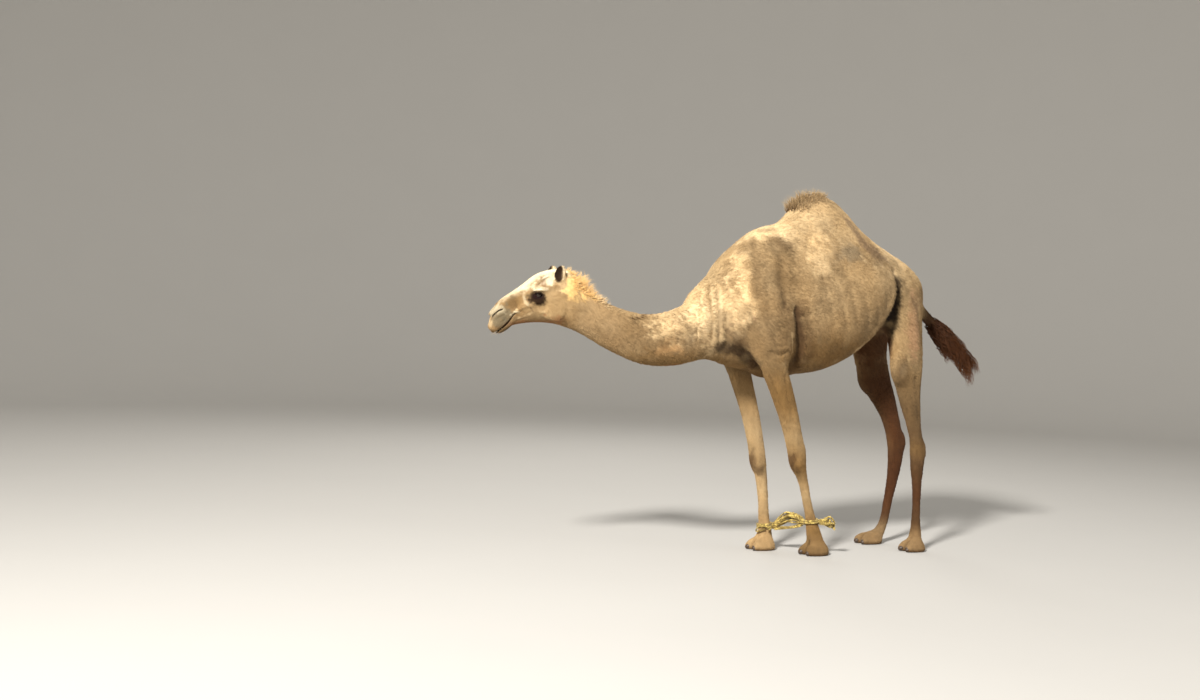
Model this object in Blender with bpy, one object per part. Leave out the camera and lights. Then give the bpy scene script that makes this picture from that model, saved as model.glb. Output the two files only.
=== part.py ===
"""A dromedary camel standing in a rope hobble, life size, as a still museum model.

The body is described by smooth shapes that grow into each other. Each named piece is
meshed from that one body, thinned to the triangles that it needs, and parted from its
neighbours by flat cuts a fraction of a millimetre wide. +Z is up, the head is towards -X
and the animal's left side is -Y. The pose is that of a camel on gently falling ground, so
the finished model is turned to bring its four soles level, on Z = 0.
"""
import math

import bmesh
import bpy
import numpy as np
from mathutils import Matrix, Vector

# Driving dimensions, in metres. The animal is 1.84 high at the withers.
GAP = 0.0003                        # width of a cut between two pieces
HAIR_GAP = 0.005                    # room between a tuft of long hair and the skin
TRIM_GAP = 0.0016                   # room between an ear or a nail and the flesh
HEAD_AT = (-1.685, 0.150, 0.0)      # nape, about which the head is turned
HEAD_YAW = 15.0                     # degrees that the head looks to its right
EYE_AT = (0.206, 0.0715, 1.470)     # forward, aside and up, in the head's frame
EYE_RADIUS = 0.0205
SOCKET_ROOM = 0.0006
ROPE_THICK = 0.011                  # one turn of the hobble's rope
ROPE_TURNS = 2                      # turns round each pastern
LINK_HALF = 0.015                   # half thickness of the twisted link between the legs
STRAND_HALF = 0.008                 # half thickness of the loose strand under it
GROUND_FALL = 2.6                   # degrees that the ground under the pose falls towards the tail
GROUND_AT = -0.36                   # place along X where that ground is at level 0

COAT = (0.62, 0.47, 0.29)
DARK_HAIR = (0.10, 0.055, 0.035)
CREST_HAIR = (0.22, 0.13, 0.09)
NAPE_HAIR = (0.60, 0.42, 0.20)
HORN = (0.07, 0.055, 0.045)
EYE = (0.02, 0.012, 0.008)
ROPE = (0.62, 0.48, 0.14)


# ---------------------------------------------------------------- smooth shapes
# Each shape answers how far a set of points lies outside its surface, in metres.
FAR = 9.0


def smooth_min(a, b, blend):
    """The lower of two distances, rounded where they cross."""
    h = np.maximum(blend - np.abs(a - b), 0.0) / blend
    return np.minimum(a, b) - h * h * blend * 0.25


def smooth_max(a, b, blend):
    """The higher of two distances, rounded where they cross."""
    return -smooth_min(-a, -b, blend)


def spline(rows, steps):
    """A smooth curve through rows of numbers, with this many steps between two rows."""
    rows = np.asarray(rows, float)
    ends = np.vstack([2 * rows[0] - rows[1], rows, 2 * rows[-1] - rows[-2]])
    t = (np.arange(steps) / steps)[:, None]
    out = []
    for p0, p1, p2, p3 in zip(ends, ends[1:], ends[2:], ends[3:]):
        bend = (2 * p0 - 5 * p1 + 4 * p2 - p3) * t ** 2
        twist = (3 * p1 - p0 - 3 * p2 + p3) * t ** 3
        out.append(0.5 * (2 * p1 + (p2 - p0) * t + bend + twist))
    out.append(rows[-1:])
    return np.concatenate(out)


def radial(offset, ratio, least):
    """Distance outside a surface, from the offset to its middle and the share of the way."""
    length = np.linalg.norm(offset, axis=1)
    return np.where(ratio < 0.05, -least, length * (1 - 1 / ratio))


class Limb:
    """A tapering limb along a smooth line. Rows: x, y, z, half depth, half width."""

    def __init__(self, rows, steps=4):
        line = spline(rows, steps)
        self.centre = line[:, :3]
        self.half = line[:, 3:5]
        reach = self.half.max()
        self.lo = self.centre.min(0) - reach
        self.hi = self.centre.max(0) + reach

    def __call__(self, p):
        best = np.full(len(p), FAR)
        for i in range(len(self.centre) - 1):
            axis = self.centre[i + 1] - self.centre[i]
            length = np.linalg.norm(axis)
            axis = axis / length
            deep = np.cross((0.0, 1.0, 0.0), axis)
            deep /= np.linalg.norm(deep)
            wide = np.cross(axis, deep)
            rel = p - self.centre[i]
            along = rel @ axis
            on = np.clip(along, 0, length)
            half = self.half[i] + np.outer(on / length, self.half[i + 1] - self.half[i])
            local = np.stack([rel @ deep, rel @ wide, along - on], 1)
            size = np.column_stack([half, half.min(1)])
            ratio = np.sqrt(((local / size) ** 2).sum(1)) + 1e-9
            best = np.minimum(best, radial(local, ratio, size[:, 2]))
        return best


class Ball:
    """An ellipsoid, turned about its side axis (Y), rolled about X and yawed about Z."""

    def __init__(self, centre, radii, turn=0.0, roll=0.0, yaw=0.0):
        self.centre = np.asarray(centre, float)
        self.radii = np.asarray(radii, float)
        turned = Matrix.Rotation(math.radians(turn), 3, 'Y') @ Matrix.Rotation(math.radians(roll), 3, 'X')
        self.axes = np.array(Matrix.Rotation(math.radians(yaw), 3, 'Z') @ turned)
        self.lo = self.centre - self.radii.max()
        self.hi = self.centre + self.radii.max()

    def __call__(self, p):
        q = (p - self.centre) @ self.axes
        near = np.linalg.norm(q / self.radii, axis=1) + 1e-9
        steep = np.linalg.norm(q / self.radii ** 2, axis=1) + 1e-9
        return near * (near - 1) / steep


class Loft:
    """A body along X. Rows: x, top, bottom, widest height, half width, upper and lower roundness."""

    def __init__(self, rows, steps=6):
        self.rows = spline(rows, steps)
        self.lo = np.array([self.rows[0, 0], -self.rows[:, 4].max(), self.rows[:, 2].min()])
        self.hi = np.array([self.rows[-1, 0], self.rows[:, 4].max(), self.rows[:, 1].max()])

    def __call__(self, p):
        x = self.rows[:, 0]
        columns = [np.interp(p[:, 0], x, self.rows[:, j]) for j in range(1, 7)]
        top, low, mid, wide, round_up, round_low = columns
        rise = p[:, 2] - mid
        half = np.where(rise > 0, top - mid, mid - low)
        power = np.where(rise > 0, round_up, round_low)
        ratio = (np.abs(p[:, 1] / wide) ** power + np.abs(rise / half) ** power) ** (1 / power) + 1e-9
        side = radial(np.stack([p[:, 1], rise], 1), ratio, np.minimum(wide, half))
        ends = np.maximum(x[0] - p[:, 0], p[:, 0] - x[-1])
        return smooth_max(side, ends, 0.04)


class Pad:
    """A broad foot: a squarish ellipsoid whose middle lies just above the ground."""

    def __init__(self, centre, half_long, half_wide, tall):
        self.centre = np.array([centre[0], centre[1], ground(centre[0]) + 0.012])
        self.half = np.array([half_long, half_wide, tall])
        self.lo = self.centre - self.half
        self.hi = self.centre + self.half

    def __call__(self, p):
        q = p - self.centre
        ratio = (np.abs(q / self.half) ** 2.3).sum(1) ** (1 / 2.3) + 1e-9
        return radial(q, ratio, self.half.min())


class Underground:
    """Everything under the ground."""

    lo = np.full(3, -FAR)
    hi = np.array([FAR, FAR, 0.10])

    def __call__(self, p):
        return (p[:, 2] - ground(p[:, 0])) * math.cos(math.radians(GROUND_FALL))


class Group:
    """Shapes joined or cut one after the other, each with its own blend."""

    def __init__(self):
        self.steps = []
        self.lo = np.full(3, FAR)
        self.hi = np.full(3, -FAR)

    def add(self, shape, blend=0.03):
        self.steps.append((shape, blend, True))
        self.lo = np.minimum(self.lo, shape.lo)
        self.hi = np.maximum(self.hi, shape.hi)

    def cut(self, shape, blend=0.01):
        self.steps.append((shape, blend, False))

    def __call__(self, p):
        d = np.full(len(p), FAR)
        for shape, blend, joined in self.steps:
            reach = blend + 0.03
            close = ((p > shape.lo - reach) & (p < shape.hi + reach)).all(1)
            if not close.any():
                continue
            value = shape(p[close])
            if joined:
                d[close] = smooth_min(d[close], value, blend)
            else:
                d[close] = smooth_max(d[close], -value, blend)
        return d


class OnHead:
    """A shape made in the head's frame (forward, left, up), set where the head is."""

    def __init__(self, shape):
        self.shape = shape
        corners = np.array([[x, y, z] for x in (shape.lo[0], shape.hi[0])
                            for y in (shape.lo[1], shape.hi[1]) for z in (shape.lo[2], shape.hi[2])])
        corners = head_to_body(corners)
        self.lo = corners.min(0)
        self.hi = corners.max(0)

    def __call__(self, p):
        return self.shape(body_to_head(p))


def head_axes():
    """Columns: forward, left and up of the head."""
    c = math.cos(math.radians(HEAD_YAW))
    s = math.sin(math.radians(HEAD_YAW))
    return np.array([[-c, -s, 0.0], [s, -c, 0.0], [0.0, 0.0, 1.0]])


def head_to_body(p):
    return np.asarray(HEAD_AT) + np.asarray(p, float) @ head_axes().T


def body_to_head(p):
    return (np.asarray(p, float) - np.asarray(HEAD_AT)) @ head_axes()


# ---------------------------------------------------------------- the animal
def trunk_shape():
    return Loft([
        (-1.00, 1.450, 1.170, 1.310, 0.060, 2.0, 2.0),
        (-0.90, 1.535, 1.125, 1.340, 0.115, 2.0, 2.0),
        (-0.83, 1.635, 1.090, 1.350, 0.155, 2.0, 2.0),
        (-0.74, 1.742, 1.060, 1.350, 0.186, 2.0, 1.9),
        (-0.62, 1.820, 1.035, 1.360, 0.206, 1.95, 1.8),
        (-0.50, 1.846, 1.018, 1.380, 0.224, 1.9, 1.8),
        (-0.35, 1.850, 1.012, 1.400, 0.252, 1.75, 2.0),
        (-0.18, 1.840, 1.028, 1.420, 0.274, 1.75, 2.1),
        (-0.02, 1.812, 1.085, 1.440, 0.288, 1.8, 2.1),
        (0.10, 1.784, 1.165, 1.470, 0.284, 1.8, 2.1),
        (0.20, 1.740, 1.262, 1.500, 0.254, 1.8, 2.1),
        (0.30, 1.705, 1.330, 1.520, 0.200, 1.9, 2.0),
        (0.40, 1.655, 1.350, 1.500, 0.150, 1.9, 2.0),
        (0.50, 1.560, 1.340, 1.450, 0.108, 1.9, 2.0),
        (0.58, 1.440, 1.320, 1.380, 0.055, 2.0, 2.0)])


def hump_shape():
    return Loft([
        (-0.50, 1.800, 1.55, 1.68, 0.050, 1.6, 2.0),
        (-0.43, 1.865, 1.55, 1.68, 0.115, 1.6, 2.0),
        (-0.36, 1.945, 1.55, 1.68, 0.155, 1.6, 2.0),
        (-0.28, 2.000, 1.55, 1.68, 0.180, 1.65, 2.0),
        (-0.19, 2.021, 1.55, 1.68, 0.195, 1.7, 2.0),
        (-0.10, 2.005, 1.55, 1.68, 0.200, 1.65, 2.0),
        (-0.01, 1.945, 1.55, 1.68, 0.195, 1.6, 2.0),
        (0.11, 1.822, 1.55, 1.66, 0.172, 1.6, 2.0),
        (0.24, 1.722, 1.52, 1.62, 0.125, 1.7, 2.0),
        (0.33, 1.665, 1.50, 1.58, 0.055, 1.8, 2.0)])


def neck_shape():
    return Limb([
        (-0.700, 0.000, 1.400, 0.270, 0.150),
        (-0.860, 0.000, 1.345, 0.218, 0.135),
        (-0.985, 0.000, 1.287, 0.162, 0.110),
        (-1.134, 0.010, 1.238, 0.150, 0.098),
        (-1.291, 0.030, 1.230, 0.137, 0.090),
        (-1.426, 0.060, 1.267, 0.121, 0.083),
        (-1.562, 0.095, 1.331, 0.109, 0.078),
        (-1.675, 0.135, 1.410, 0.105, 0.077),
        (-1.760, 0.165, 1.485, 0.092, 0.075)], steps=5)


LEG_LINES = {
    'left_fore': [
        (-0.640, -0.150, 1.420, 0.120, 0.070), (-0.640, -0.165, 1.200, 0.105, 0.066),
        (-0.612, -0.172, 1.079, 0.078, 0.060), (-0.562, -0.172, 0.960, 0.070, 0.055),
        (-0.497, -0.168, 0.787, 0.060, 0.048), (-0.455, -0.160, 0.660, 0.054, 0.046),
        (-0.431, -0.154, 0.590, 0.054, 0.050), (-0.420, -0.149, 0.530, 0.049, 0.047),
        (-0.390, -0.143, 0.465, 0.033, 0.035), (-0.362, -0.136, 0.390, 0.027, 0.027),
        (-0.340, -0.130, 0.315, 0.025, 0.026), (-0.314, -0.124, 0.235, 0.026, 0.028),
        (-0.288, -0.118, 0.155, 0.035, 0.038), (-0.266, -0.112, 0.085, 0.045, 0.047),
        (-0.252, -0.110, 0.030, 0.048, 0.052)],
    'right_fore': [
        (-0.640, 0.150, 1.420, 0.120, 0.070), (-0.635, 0.160, 1.200, 0.105, 0.066),
        (-0.600, 0.170, 1.059, 0.076, 0.060), (-0.563, 0.170, 0.938, 0.066, 0.055),
        (-0.512, 0.167, 0.777, 0.056, 0.047), (-0.474, 0.165, 0.610, 0.050, 0.045),
        (-0.463, 0.160, 0.510, 0.050, 0.048), (-0.442, 0.158, 0.430, 0.036, 0.036),
        (-0.431, 0.153, 0.302, 0.031, 0.029), (-0.425, 0.151, 0.190, 0.031, 0.030),
        (-0.421, 0.148, 0.120, 0.038, 0.040), (-0.427, 0.145, 0.070, 0.045, 0.047),
        (-0.437, 0.142, 0.030, 0.048, 0.052)],
    'left_hind': [
        (0.325, -0.115, 1.470, 0.138, 0.080), (0.350, -0.142, 1.300, 0.126, 0.078),
        (0.366, -0.152, 1.150, 0.113, 0.074), (0.371, -0.158, 1.020, 0.104, 0.065),
        (0.384, -0.162, 0.892, 0.079, 0.054), (0.400, -0.164, 0.800, 0.063, 0.048),
        (0.417, -0.166, 0.715, 0.048, 0.041), (0.434, -0.168, 0.630, 0.041, 0.039),
        (0.446, -0.170, 0.530, 0.047, 0.041), (0.442, -0.173, 0.440, 0.040, 0.036),
        (0.439, -0.176, 0.370, 0.030, 0.030), (0.433, -0.181, 0.261, 0.024, 0.025),
        (0.425, -0.186, 0.145, 0.025, 0.027), (0.419, -0.190, 0.070, 0.032, 0.036),
        (0.406, -0.194, 0.005, 0.042, 0.047)],
    'right_hind': [
        (0.320, 0.110, 1.470, 0.140, 0.080), (0.340, 0.130, 1.250, 0.130, 0.078),
        (0.358, 0.143, 1.080, 0.112, 0.072), (0.416, 0.149, 0.925, 0.096, 0.062),
        (0.470, 0.149, 0.826, 0.078, 0.054), (0.512, 0.147, 0.731, 0.062, 0.045),
        (0.542, 0.145, 0.640, 0.056, 0.043), (0.562, 0.143, 0.550, 0.058, 0.043),
        (0.556, 0.141, 0.452, 0.049, 0.038), (0.532, 0.139, 0.332, 0.036, 0.031),
        (0.496, 0.133, 0.214, 0.026, 0.027), (0.460, 0.127, 0.097, 0.024, 0.027),
        (0.420, 0.122, 0.035, 0.030, 0.034), (0.372, 0.118, -0.005, 0.042, 0.046)]}

# Foot: middle of the pad, half length, half width, height of the pad.
FEET = {
    'left_fore': ((-0.262, -0.110), 0.077, 0.070, 0.062),
    'right_fore': ((-0.448, 0.140), 0.076, 0.069, 0.062),
    'left_hind': ((0.398, -0.195), 0.070, 0.062, 0.056),
    'right_hind': ((0.336, 0.117), 0.074, 0.063, 0.056)}


def ground(x):
    """Level of the ground under the pose, which falls towards the tail."""
    return -math.tan(math.radians(GROUND_FALL)) * (x - GROUND_AT)


def tail_shape():
    return Limb([(0.545, 0.0, 1.400, 0.055, 0.050), (0.630, 0.0, 1.342, 0.036, 0.034),
                 (0.700, 0.0, 1.288, 0.027, 0.026), (0.775, 0.0, 1.230, 0.022, 0.021),
                 (0.845, 0.0, 1.170, 0.018, 0.017)])


def skull_shape():
    return Loft([
        (-0.02, 1.560, 1.300, 1.470, 0.072, 2.2, 1.8),
        (0.03, 1.588, 1.308, 1.490, 0.083, 2.2, 1.7),
        (0.08, 1.602, 1.315, 1.505, 0.090, 2.2, 1.6),
        (0.13, 1.600, 1.322, 1.505, 0.094, 2.3, 1.6),
        (0.18, 1.586, 1.326, 1.490, 0.091, 2.4, 1.6),
        (0.225, 1.561, 1.326, 1.468, 0.078, 2.4, 1.7),
        (0.275, 1.524, 1.322, 1.440, 0.059, 2.3, 2.0),
        (0.320, 1.494, 1.314, 1.418, 0.049, 2.2, 2.2),
        (0.365, 1.466, 1.298, 1.390, 0.046, 2.2, 2.3),
        (0.400, 1.440, 1.280, 1.362, 0.047, 2.2, 2.3),
        (0.430, 1.402, 1.270, 1.335, 0.042, 2.2, 2.3),
        (0.452, 1.345, 1.285, 1.316, 0.026, 2.0, 2.0)], steps=5)


def head_shape():
    head = Group()
    head.add(skull_shape())
    for side in (-1, 1):
        head.add(Ball((0.190, side * 0.080, 1.505), (0.050, 0.018, 0.017), turn=20), 0.03)    # brow
        head.add(Ball((0.165, side * 0.078, 1.448), (0.062, 0.017, 0.018), turn=8), 0.03)     # cheek bone
        head.add(Ball((0.120, side * 0.056, 1.400), (0.070, 0.030, 0.062), turn=10), 0.03)    # jaw muscle
        head.add(Ball((0.407, side * 0.031, 1.382), (0.044, 0.018, 0.026), turn=32), 0.02)    # nostril wing
        head.add(Ball((0.408, side * 0.028, 1.328), (0.050, 0.020, 0.028), turn=39), 0.02)    # upper lip
        head.add(Ball((0.372, side * 0.026, 1.308), (0.050, 0.018, 0.020), turn=36), 0.02)    # lower lip
        head.cut(Ball((0.325, side * 0.066, 1.432), (0.052, 0.017, 0.034), turn=35), 0.03)    # cheek hollow
        head.cut(Ball((0.160, side * 0.100, 1.545), (0.040, 0.012, 0.022), turn=15), 0.03)    # temple
        lids = Ball((EYE_AT[0], side * 0.066, EYE_AT[2]), (0.031, 0.021, 0.027), turn=15)
        head.add(lids, 0.014)
        opening = Ball((EYE_AT[0], side * 0.102, EYE_AT[2]), (0.024, 0.018, 0.016), turn=12)
        head.cut(opening, 0.008)
    return OnHead(head)


def ear_shape(side):
    """A small upright cup, open forward and outward."""
    ear = Group()
    ear.add(Ball((0.094, side * 0.084, 1.572), (0.026, 0.017, 0.056), turn=-6, roll=-12 * side))
    ear.cut(Ball((0.103, side * 0.099, 1.582), (0.020, 0.016, 0.044), turn=-6, roll=-12 * side), 0.004)
    return OnHead(ear)


def flesh():
    """The whole animal without its ears and long hair."""
    body = Group()
    body.add(trunk_shape())
    body.add(hump_shape(), 0.09)
    body.add(neck_shape(), 0.10)
    body.add(Ball((-0.50, 0.0, 1.048), (0.13, 0.085, 0.050)), 0.04)                  # breast pad
    for side in (-1, 1):
        body.add(Ball((-0.69, side * 0.125, 1.400), (0.125, 0.080, 0.240), turn=-12), 0.12)   # shoulder
        body.add(Ball((-0.805, side * 0.160, 1.350), (0.050, 0.045, 0.060)), 0.06)            # its point
        body.add(Ball((-0.600, side * 0.172, 1.270), (0.105, 0.055, 0.140), turn=20), 0.05)   # upper arm
        body.add(Ball((-0.552, side * 0.165, 1.145), (0.052, 0.040, 0.062), turn=25), 0.05)   # elbow
        body.add(Ball((0.195, side * 0.150, 1.640), (0.055, 0.040, 0.030), turn=25), 0.06)    # hip bone
        body.add(Ball((0.335, side * 0.105, 1.440), (0.140, 0.082, 0.170), turn=15), 0.10)    # rump
    for name, rows in LEG_LINES.items():
        body.add(Limb(rows), 0.09 if 'hind' in name else 0.07)
        middle, half_long, half_wide, tall = FEET[name]
        body.add(Pad(middle, half_long, half_wide, tall), 0.03)
    body.add(Ball((0.292, -0.188, 1.030), (0.058, 0.042, 0.085)), 0.05)              # stifles
    body.add(Ball((0.345, 0.162, 0.955), (0.052, 0.042, 0.075)), 0.05)
    body.add(Ball((0.474, -0.170, 0.560), (0.024, 0.022, 0.050), turn=-8), 0.035)    # points of the hocks
    body.add(Ball((0.606, 0.143, 0.570), (0.024, 0.022, 0.050), turn=-12), 0.035)
    body.add(head_shape(), 0.06)
    body.add(tail_shape(), 0.05)
    for name, (middle, half_long, half_wide, tall) in FEET.items():
        front = middle[0] - half_long * 0.98
        toe = (front, middle[1], ground(front) + 0.030)
        body.cut(Ball(toe, (0.030, 0.0045, 0.060), turn=-25), 0.012)                 # gap between the toes
    body.cut(Underground(), 0.006)
    return body


def crest_shape():
    return Limb([(-0.395, 0.0, 1.892, 0.028, 0.028), (-0.345, 0.0, 1.950, 0.038, 0.040),
                 (-0.270, 0.0, 2.006, 0.042, 0.050), (-0.180, 0.0, 2.022, 0.040, 0.054),
                 (-0.110, 0.0, 2.008, 0.036, 0.050), (-0.055, 0.0, 1.972, 0.028, 0.036)])


def nape_shape():
    return Limb([(-1.530, 0.095, 1.455, 0.022, 0.022), (-1.580, 0.112, 1.503, 0.046, 0.030),
                 (-1.640, 0.130, 1.540, 0.036, 0.032), (-1.690, 0.148, 1.562, 0.026, 0.030),
                 (-1.735, 0.163, 1.578, 0.018, 0.020)])


def switch_shape():
    """The blown tuft of the tail: one body of hair that ends in three locks."""
    hair = Group()
    hair.add(Limb([(0.690, 0.0, 1.296, 0.028, 0.026), (0.755, 0.0, 1.236, 0.046, 0.032),
                   (0.840, 0.0, 1.170, 0.054, 0.036), (0.930, 0.0, 1.094, 0.053, 0.034),
                   (1.000, 0.0, 1.020, 0.038, 0.026)]))
    hair.add(Limb([(0.955, 0.0, 1.085, 0.034, 0.022), (1.045, 0.0, 1.018, 0.027, 0.018),
                   (1.090, 0.0, 0.950, 0.006, 0.006)]), 0.02)
    hair.add(Limb([(0.930, -0.010, 1.070, 0.032, 0.020), (0.988, -0.014, 0.975, 0.022, 0.015),
                   (1.022, -0.018, 0.885, 0.005, 0.005)]), 0.02)
    hair.add(Limb([(0.800, 0.008, 1.165, 0.030, 0.020), (0.850, 0.018, 1.085, 0.014, 0.010),
                   (0.885, 0.026, 1.030, 0.005, 0.005)]), 0.02)
    return hair


def nail_shape(name, side):
    """One of the two broad nails on the front of a foot."""
    (x, y), half_long, half_wide, _ = FEET[name]
    front = x - half_long * 0.90
    return Ball((front, y + side * half_wide * 0.44, ground(front) + 0.019),
                (0.022, 0.016, 0.015), turn=-20, yaw=-18 * side)


# ---------------------------------------------------------------- meshing
def gradient(shape, p, step=0.0015):
    slope = np.zeros_like(p)
    for i in range(3):
        move = np.zeros(3)
        move[i] = step
        slope[:, i] = (shape(p + move) - shape(p - move)) / (2 * step)
    return slope


def settle(shape, p, limit):
    """Points moved onto the surface, by no more than the limit."""
    slope = gradient(shape, p)
    move = -(shape(p) / ((slope ** 2).sum(1) + 1e-6))[:, None] * slope
    length = np.linalg.norm(move, axis=1) + 1e-9
    return p + move * np.minimum(1, limit / length)[:, None]


def grid_values(shape, lo, count, step):
    """Distances on a grid, worked out closely only near the surface."""
    skip = 4
    axes = [lo[i] + step * skip * np.arange(math.ceil(count[i] / skip) + 1) for i in range(3)]
    coarse = np.stack(np.meshgrid(*axes, indexing='ij'), -1)
    value = shape(coarse.reshape(-1, 3)).reshape(coarse.shape[:3])
    near = np.abs(value) < step * skip * 1.9
    touched = np.zeros(np.array(near.shape) - 1, bool)
    ends = (slice(None, -1), slice(1, None))
    for i in ends:
        for j in ends:
            for k in ends:
                touched |= near[i, j, k]
    value = value[:-1, :-1, :-1]
    for axis in range(3):
        value = np.repeat(value, skip, axis)
        touched = np.repeat(touched, skip, axis)
    value = value[:count[0], :count[1], :count[2]].copy()
    touched = touched[:count[0], :count[1], :count[2]]
    value[touched] = shape(lo + np.argwhere(touched) * step)
    return value


def surface(shape, lo, hi, step):
    """Vertices and quads of the closed surface of a shape inside a box."""
    lo = np.asarray(lo, float)
    count = np.ceil((np.asarray(hi) - lo) / step).astype(int) + 1
    value = grid_values(shape, lo, count, step)
    inside = value < 0
    corners = [(i, j, k) for i in (0, 1) for j in (0, 1) for k in (0, 1)]
    full = sum(inside[i:count[0] - 1 + i, j:count[1] - 1 + j, k:count[2] - 1 + k].astype(int)
               for i, j, k in corners)
    crossed = (full > 0) & (full < 8)
    cell = np.argwhere(crossed)
    number = np.zeros(crossed.shape, int)
    number[crossed] = np.arange(len(cell))
    total = np.zeros((len(cell), 3))
    hits = np.zeros(len(cell))
    for corner in corners:
        for axis in range(3):
            if corner[axis]:
                continue
            other = list(corner)
            other[axis] = 1
            a = value[tuple((cell + corner).T)]
            b = value[tuple((cell + other).T)]
            cut = (a < 0) != (b < 0)
            point = np.tile(np.array(corner, float), (cut.sum(), 1))
            point[:, axis] += a[cut] / (a[cut] - b[cut])
            total[cut] += point
            hits[cut] += 1
    verts = lo + (cell + total / hits[:, None]) * step
    quads = []
    for axis in range(3):
        u, v = (axis + 1) % 3, (axis + 2) % 3
        here = np.take(inside, range(count[axis] - 1), axis)
        there = np.take(inside, range(1, count[axis]), axis)
        edge = np.argwhere(here != there)
        edge = edge[(edge[:, u] > 0) & (edge[:, v] > 0)]
        edge = edge[(edge[:, u] < count[u] - 1) & (edge[:, v] < count[v] - 1)]
        ring = []
        for du, dv in ((-1, -1), (0, -1), (0, 0), (-1, 0)):
            near = edge.copy()
            near[:, u] += du
            near[:, v] += dv
            ring.append(number[tuple(near.T)])
        ring = np.stack(ring, 1)
        inward = ~inside[tuple(edge.T)]
        ring[inward] = ring[inward][:, ::-1]
        quads.append(ring)
    for _ in range(3):
        verts = settle(shape, verts, step * 0.5)
    return verts, np.concatenate(quads)


class Boxed:
    """A shape kept inside a box, so that its surface closes."""

    def __init__(self, shape, lo, hi):
        self.shape = shape
        self.lo = np.asarray(lo, float)
        self.hi = np.asarray(hi, float)

    def __call__(self, p):
        outside = np.maximum(self.lo - p, p - self.hi).max(1)
        return np.maximum(self.shape(p), outside)


class Beside:
    """A shape that stops a little short of another one."""

    def __init__(self, shape, other, room, blend=0.006):
        self.shape = shape
        self.other = other
        self.room = room
        self.blend = blend
        self.lo = shape.lo
        self.hi = shape.hi

    def __call__(self, p):
        return smooth_max(self.shape(p), self.room - self.other(p), self.blend)


# ---------------------------------------------------------------- Blender objects
def finish(name, colour, roughness, metallic=0.0):
    material = bpy.data.materials.new(name)
    material.use_nodes = True
    shader = material.node_tree.nodes['Principled BSDF']
    shader.inputs['Base Color'].default_value = (*colour, 1.0)
    shader.inputs['Roughness'].default_value = roughness
    shader.inputs['Metallic'].default_value = metallic
    return material


def add_object(name, verts, faces, colour, roughness=0.9):
    mesh = bpy.data.meshes.new(name)
    mesh.from_pydata([tuple(v) for v in verts], [], [tuple(int(i) for i in face) for face in faces])
    mesh.shade_smooth()
    mesh.set_sharp_from_angle(angle=math.radians(50))
    mesh.materials.append(finish(name + '_finish', colour, roughness))
    obj = bpy.data.objects.new(name, mesh)
    bpy.context.collection.objects.link(obj)
    return obj


GRID_SHIFTS = (0.0, 0.31, 0.57, 0.83, 0.17)     # tried in turn, in steps of the grid


def is_simple(quads):
    """True where every edge joins exactly two faces."""
    edges = np.concatenate([quads[:, [i, (i + 1) % 4]] for i in range(4)])
    edges.sort(axis=1)
    return (np.unique(edges, axis=0, return_counts=True)[1] == 2).all()


def grow(name, shape, lo, hi, step, triangles, colour, roughness=0.9):
    """A piece meshed from a shape inside a box, then thinned to about so many triangles."""
    for shift in GRID_SHIFTS:
        start = np.asarray(lo) - (2 + shift) * step
        verts, quads = surface(Boxed(shape, lo, hi), start, np.asarray(hi) + 2 * step, step)
        if is_simple(quads):
            break
    obj = add_object(name, verts, quads, colour, roughness)
    ratio = triangles / (2 * len(quads))
    if ratio < 1:
        thin = obj.modifiers.new('thin', 'DECIMATE')
        thin.ratio = ratio
    return obj


def cutter(name, corners, faces):
    obj = add_object(name, corners, faces, COAT)
    obj.hide_render = True
    obj.display_type = 'WIRE'
    return obj


BOX_FACES = [(0, 1, 3, 2), (4, 6, 7, 5), (0, 4, 5, 1), (2, 3, 7, 6), (0, 2, 6, 4), (1, 5, 7, 3)]


def block(name, lo, hi, room=0.0):
    """A cutting block; room makes it larger on every side."""
    lo = np.asarray(lo) - room
    hi = np.asarray(hi) + room
    corners = [(x, y, z) for x in (lo[0], hi[0]) for y in (lo[1], hi[1]) for z in (lo[2], hi[2])]
    return cutter(name, corners, BOX_FACES)


def half_space(name, point, lean, room=0.0, reach=3.0, yaw=0.0):
    """A large block whose one face is a plane. Lean turns its outward way from +X towards -Z."""
    turn = Matrix.Rotation(math.radians(yaw), 3, 'Z') @ Matrix.Rotation(math.radians(lean), 3, 'Y')
    corners = []
    for x in (-reach, room):
        for y in (-reach, reach):
            for z in (-reach, reach):
                corners.append(tuple(Vector(point) + turn @ Vector((x, y, z))))
    return cutter(name, corners, BOX_FACES)


def prism(name, outline, half_width, room=0.0):
    """A block of the head's side outline, made in the head's frame. Room lifts it all round."""
    outline = np.asarray(outline, float)
    middle = outline.mean(0)
    away = outline - middle
    outline = outline + room * np.sign(away)
    count = len(outline)
    corners = [head_to_body((x, y, z)) for y in (-half_width, half_width) for x, z in outline]
    faces = [tuple(range(count)), tuple(range(2 * count - 1, count - 1, -1))]
    for i in range(count):
        j = (i + 1) % count
        faces.append((j, i, i + count, j + count))
    return cutter(name, corners, faces)


def carve(obj, other, operation):
    cut = obj.modifiers.new(other.name, 'BOOLEAN')
    cut.operation = operation
    cut.object = other
    cut.solver = 'EXACT'


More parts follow.
